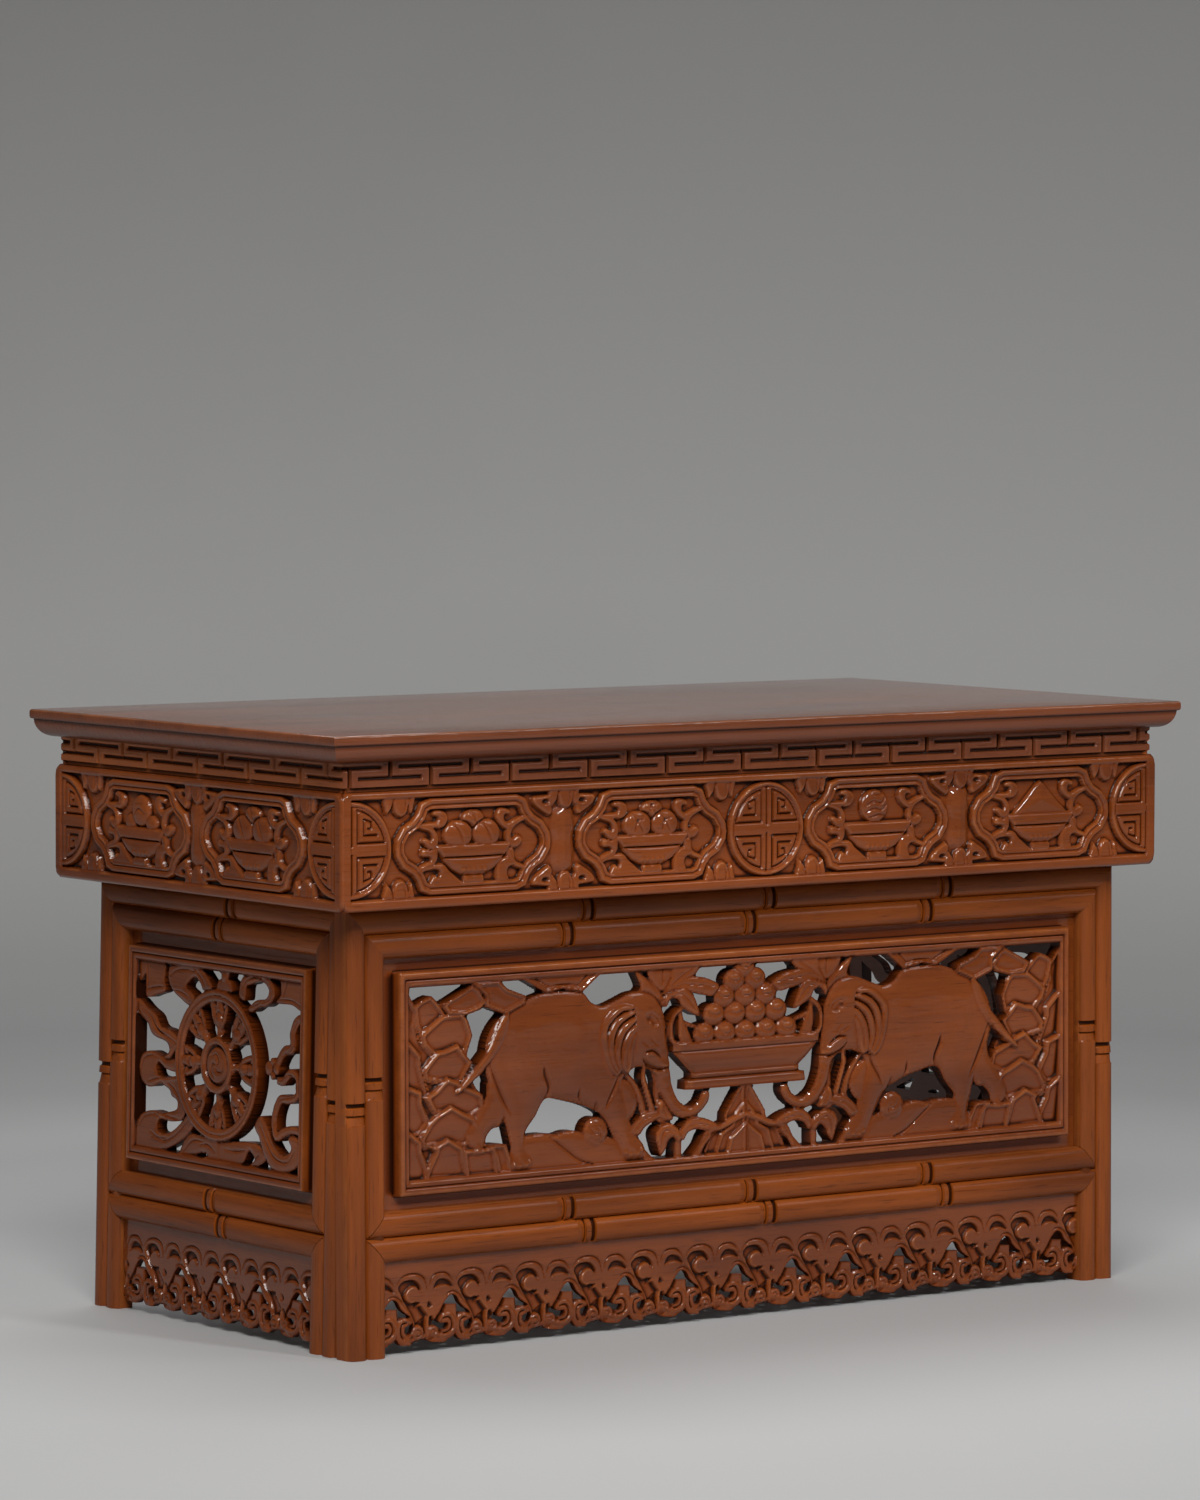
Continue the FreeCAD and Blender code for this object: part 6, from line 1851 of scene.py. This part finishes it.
@dataclass
class ScrollSkirt:
    """The pierced strip between a panel's feet: hooks, arches, buds and scrolls."""

    panel: PanelPlace
    phase: float
    pitch: float = 46.4
    step: float = 0.64
    low: float = 5.6
    high: float = 65.4
    face: float = -6.1

    def hooks(self, sheet: ReliefCanvas, x: float) -> None:
        """Cut the two hooks over an arch, with the pockets inside and beside them.

        Args:
            sheet: The strip's height map.
            x: Middle of the arch.
        """
        face, at = self.face, (x, 0)
        for text, depth in (
                ("6 42.8, 7.8 45.5, 12 47.1, 17.8 46.9, 21.7 44.2, 23.2 41, 22.5 39, 21 41.7, 18.5 43.1, "
                 "15.4 42.6, 12.7 40.4, 11.1 37, 12.3 33.9, 15.8 32.1, 19.2 32.8, 18.1 29.7, 21.2 29.9, "
                 "22.5 28.8, 24.5 24.7, 28.1 23, 26.8 21.1, 25.4 19.4, 21.3 17.6, 19 17.1, 18.1 21.6, "
                 "15.6 26.3, 12.3 31, 9.2 35.5, 7.6 39.3", 2.7),
                ("2.2 40.4, -0.7 44.4, -5.4 46.2, -9.5 45.7, -12 43.3, -12.9 40.4, -11.6 41.1, -9.2 41.9, "
                 "-5.9 42.2, -2.3 41.9", 2),
                ("18.1 31.7, 22.3 32.3, 19 28.1", 3),
                ("22.5 30.1, 25.2 27.2, 28.6 22.8, 24.6 23.4, 22.8 26.1", 3),
                ("-17.2 32.3, -14.5 29.6, -17.6 28.8", 2.2),
                ("15.8 16.5, 19 17.2, 23.7 20.9, 28.1 22.3, 27.2 17.1, 27.7 8.9, 22.6 7.1, 13.6 5.3, "
                 "14.5 12.5", 3.4),
                ("-16.7 21.6, -14.1 22.3, -13.2 18, -13.6 8.9, -17.6 8.9", 3),
        ):
            # The pocket floors are darkened as painted shade.
            sheet.sink(Outline(numbers(text) + at), face - depth, 0.22)
        for text, widths, level in (
                ("5.1 44, 10 48.4, 18.1 49.6, 24.3 46.7, 26.4 41, 24.6 36.6, 21.2 35.7, 18.8 37.7, "
                 "20.3 39.7, 22.3 39.2", (1.2, 1.9, 1.9, 1.9, 1.8, 1.7, 1.6), -0.7),
                ("2.9 42.2, -0.9 46.8, -5.9 48.6, -11.8 47.5, -14.9 43.3, -14.1 37.9, -10.9 35.9, -8 37.7, "
                 "-8.9 39.7, -11.1 39.5", (1, 1.6, 1.7, 1.7, 1.6, 1.5, 1.4), -0.7),
                ("-3.4 35.9, -0.9 36.8, 2.4 37, 6.3 35, 10.3 31, 14.1 26.5, 16.8 21.6, 18.1 17.6",
                 (1.2, 1.6, 1.8, 1.8, 1.6), -1.1),
        ):
            sheet.lay(Stroke(numbers(text) + at, widths), face + level, 0.8, 0.9, 3)
        for text in (
                "-3.1 35.9, -0.9 37.3, 2.7 37.6, 6.7 35.5, 10.7 31.4, 14.7 26.7, 17.6 21.8, 18.8 17.6",
                "5 45.9, 10 50.2, 19 51.1, 25.9 47.8, 28.1 40.6",
                "2 44.8, -1.3 48.6, -5.9 50.4, -12.7 49.3, -16.5 44",
                "27.7 21.6, 26.8 17.1, 27.4 11.6",
                "31.3 21.6, 32.2 17.1, 31 12.5"):
            sheet.score(Stroke(numbers(text) + at, (0.6, 1.3, 1.3, 0.6)), 0.9)

    def unit(self, sheet: ReliefCanvas, x: float) -> None:
        """Open one arch and lay its bud, its two thick scrolls and their knobs.

        Args:
            sheet: The strip's height map.
            x: Middle of the arch.
        """
        face, at = self.face, (x, 0)
        sheet.pierce(Outline(numbers("-0.2 35.5, 4.3 34.6, 7.4 29.6, 11.1 26.3, 15 23.6, 17.4 17.1, "
            "15.4 10.7, -14.5 10.7, -13.4 17.1, -12.7 20.7, -8.7 25.7, -4.9 31.4") + at))
        sheet.lay(Outline(numbers("-3.6 29.9, 4.7 29.2, 6 18, -8.2 18, -6 24.1") + at, False), face - 3, 1,
            2.4, 3)
        sheet.score(Stroke(numbers("4.2 28.8, 5.1 24.3, 5.6 20.7") + at, (1, 1.6, 1.6)), 1)
        for text, widths, level, rise in (
                ("-18.5 10.7, -15.4 8.7, -11.8 8.2, -6 7.6, -3.4 8.4", (3.4, 4.2, 4.4, 4.4, 3), -2.4, 1.9),
                ("6.9 8.9, 11.1 7.4, 15 8, 19 9.3, 28.1 10.3", (3.4, 4.6, 4, 3.6, 3.4), -2.4, 1.9),
                ("28.6 22.3, 28.6 17.1, 28.3 10.7", (1.6, 2.6, 3.6), -1.2, 1.1),
                ("-17.8 22.3, -17.8 17.1, -18.1 10.7", (1.6, 2.6, 3.6), -1.2, 1.1),
                ("-8.5 19.8, -6.3 22.1, -2 23, 1.6 20.3, 2.7 15.6, 0.9 11.6, -3.6 9.6, -8.9 10, -12.7 11.6",
                 (2.8, 3.8, 4.6, 5, 5, 4.8, 4.6, 4.2), -1.7, 2.5),
                ("-5.4 19.4, -1.8 19.4, -0.5 16.1, -2.5 13.1, -6.3 12.7", (2.4, 2.8, 3, 2.8, 2.2), -1.5,
                 1.9),
                ("14.3 20.3, 10 21.6, 6.5 19.9, 5.3 15.2, 6.2 10.7, 9.2 7.6, 13.8 6.5",
                 (3, 4.2, 4.4, 4.4, 4.4, 4.4, 4), -1.7, 2.5),
                ("12.3 19, 9.4 18.3, 8.9 15.1, 10.3 11.4, 13.9 10.5, 16.5 12.7", (2, 2.8, 3, 3, 2.8, 2),
                 -1.5, 1.8),
        ):
            sheet.lay(Stroke(numbers(text) + at, widths), face + level, rise, 2.2, 3.2)
        for text in (
                "-6 20.9, -1.4 21.2, 1.1 18, 0.5 13.6, -3.6 11.3, -9.2 11.6",
                "11.8 20.3, 8.2 19.2, 7.1 15.2, 8.5 10.7, 12.7 8.7"):
            sheet.score(Stroke(numbers(text) + at, (1, 1.3, 1.3, 1)), 1.1)
        for across, up, radius, level in ((21, 12.9, 5, -1.9), (-14.1, 12.7, 4.4, -2),
                                          (-7.2, 8.5, 3.6, -2), (12.3, 8.5, 3.8, -2)):
            sheet.lay(Disc((x + across, up), radius), face + level, 2.7, radius * 0.9, 3.2)
        sheet.score(Stroke(numbers("19 13.4, 20.5 14.7, 22.8 13.8, 23 11.6, 21 10.5, 19.4 11.4") + at,
            (1, 1.3, 1)), 0.9)
        sheet.score(Stroke(numbers("-15.2 13.4, -13.4 14.2, -12.1 12.7, -13 11.3") + at, (0.9, 1.2, 0.9)),
            0.8)
        sheet.sink(Disc((x - 5.1, 15.6), 1.5), face - 4.2)
        sheet.sink(Disc((x + 12.1, 15.2), 1.5), face - 4.2)

    def build(self) -> None:
        """Model and dress the strip."""
        reach = self.panel.half - 2 * self.panel.bead + 4
        sheet = ReliefCanvas(-reach, reach, self.low, self.high, self.step, self.face)
        out = reach + 9
        sheet.pierce(Outline(np.array([(-out, 10.4), (out, 10.4), (out, -9), (-out, -9)]), False))
        count = int(self.panel.half / self.pitch) + 2
        for lay in (self.hooks, self.unit):
            for number in range(-count, count + 1):
                lay(sheet, self.phase + number * self.pitch)
        plain = eased((sheet.z - 52.4) / 1.5)
        sheet.height = np.minimum(sheet.height, self.face + 1) * (1 - plain) + self.face * plain
        self.panel.finish_carving(sheet, "scroll_skirt", 10.8, "skirt")


# Fret frieze


@dataclass
class FretFrieze:
    """The strip of key fret between the top and the apron."""

    side: str
    half: float
    reach: float
    pitch: float
    start: float
    low: float = 363.4
    high: float = 382.0
    line: float = 2.5

    def build(self) -> None:
        """Model the strip with its slots and dress it."""
        sheet = ReliefCanvas(-self.half, self.half, self.low, self.high, 0.72, 0)
        face = -0.4 * eased((366.2 - sheet.z) / 0.8) * 6
        sheet.height += face
        count = int(self.half / self.pitch) + 2
        for number in range(-count, count + 1):
            for x, stem, bar in ((self.start + number * self.pitch, (384, 371.4), 371.4),
                                 (self.start + (number + 0.5) * self.pitch, (366.6, 378.4), 378.4)):
                if abs(x) > self.half + 30:
                    continue
                self.slot_cut(sheet, np.array([(x, stem[0]), (x, stem[1])]), 3.4)
                self.slot_cut(sheet, np.array([(x - 23.4, bar), (x + 23.4, bar)]), 2.4)
        strip = sheet.build(self.side + "_fret_carved", 11.5, box_place(self.side, self.reach), 11.5)
        # The short side friezes take the lighter copy of the frieze wood, as painted light.
        wood = VarnishedWood(SIDE_FRIEZE_LIFTED, GrainAxis.ALONG_Y)
        if self.side in ("front", "back"):
            wood = VarnishedWood(FRIEZE, GrainAxis.ALONG_X)
        finished(strip, "top", "carved_wood", wood.make(), self.side + "_fret_frieze", angle=50)

    def slot_cut(self, sheet: ReliefCanvas, ends: np.ndarray, depth: float) -> None:
        """Cut one straight slot with square ends.

        Args:
            sheet: The strip's height map.
            ends: Its two ends.
            depth: How deep it goes.
        """
        low, high = ends.min(0) - self.line / 2, ends.max(0) + self.line / 2
        across = np.minimum(sheet.x - low[0], high[0] - sheet.x)
        gap = np.minimum(across, np.minimum(sheet.z - low[1], high[1] - sheet.z))
        sheet.height = np.minimum(sheet.height, -depth * np.clip((gap + 0.35) / 0.9, 0, 1))


def other_nodes(frame: dict) -> None:
    """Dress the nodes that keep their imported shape."""
    done = {name for obj in bpy.data.objects for name in obj.get("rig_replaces", [])}
    brass, steel = Brass("hinge_brass").make(), Brass("screw_brass", (0.50, 0.34, 0.14), 0.4).make()
    for name, obj in frame["nodes"].items():
        if name in done:
            continue
        if "screws" in name:
            material = steel
        elif "leaves" in name or "pins" in name:
            material = brass
        else:
            axis = GrainAxis.ALONG_X if name.startswith("front") else GrainAxis.ALONG_Y
            axis = GrainAxis.ALONG_Z if "corner" in name else axis
            material = VarnishedWood(INNER, axis, hollows=False).make()
        dress(obj, material)


def main() -> None:
    """Build the table's pieces in order."""
    logging.basicConfig(level=logging.INFO, format="%(message)s")
    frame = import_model()
    Studio().build()
    TopBoard().build()
    front = PanelPlace("front_", "front_panel", 320.0, 16.0, front_place(), GrainAxis.ALONG_X, FRONT_JOINTS,
                       FRONT_LOWER)
    sides = [PanelPlace(f"{word}_", f"{word}_panel", 142.9, 14.0, side_place(side), GrainAxis.ALONG_Y,
                        ((-side * 2.0, 0, side), (-side * 16.4, 1, side)),
                        ((side * 2.8, 1, side), (-side * 11.2, 0, side)), 12.5)
             for side, word in ((-1, "left"), (1, "right"))]
    front.build_frame()
    for panel in sides:
        panel.build_frame()
    ElephantBoard(front).build()
    for panel, side in zip(sides, (-1, 1)):
        WheelBoard(panel, side).build()
        ScrollSkirt(panel, 0.0).build()
    ScrollSkirt(front, -6.0).build()
    for side, half, reach, pitch, start in (
            ("front", 336.0, 166.5, 62.5, 13.0), ("back", 336.0, 166.5, 62.5, 13.0),
            ("left", 166.5, 336.0, 59.8, -30.9), ("right", 166.5, 336.0, 59.8, 30.9)):
        FretFrieze(side, half, reach, pitch, start).build()
    long_heaps = ((-236.5, Heap.PEACHES), (-94.0, Heap.JEWELS), (94.0, Heap.SHELL), (236.5, Heap.CONE))
    for side in ("front", "back"):
        Apron(side, 339.5, 170.0, long_heaps, (-165.0, 165.0), (-331.0, 0.0, 331.0),
              (-294.0, -165.0, -38.0, 38.0, 165.0, 294.0)).build()
    for side, order in (("left", -1), ("right", 1)):
        Apron(side, 170.0, 339.5, ((order * 66.0, Heap.PEARL), (-order * 66.0, Heap.PEACHES)), (0.0,),
              (-161.5, 161.5), (-126.0, 0.0, 126.0), 60.0).build()
    other_nodes(frame)


if __name__ == "__main__":
    main()
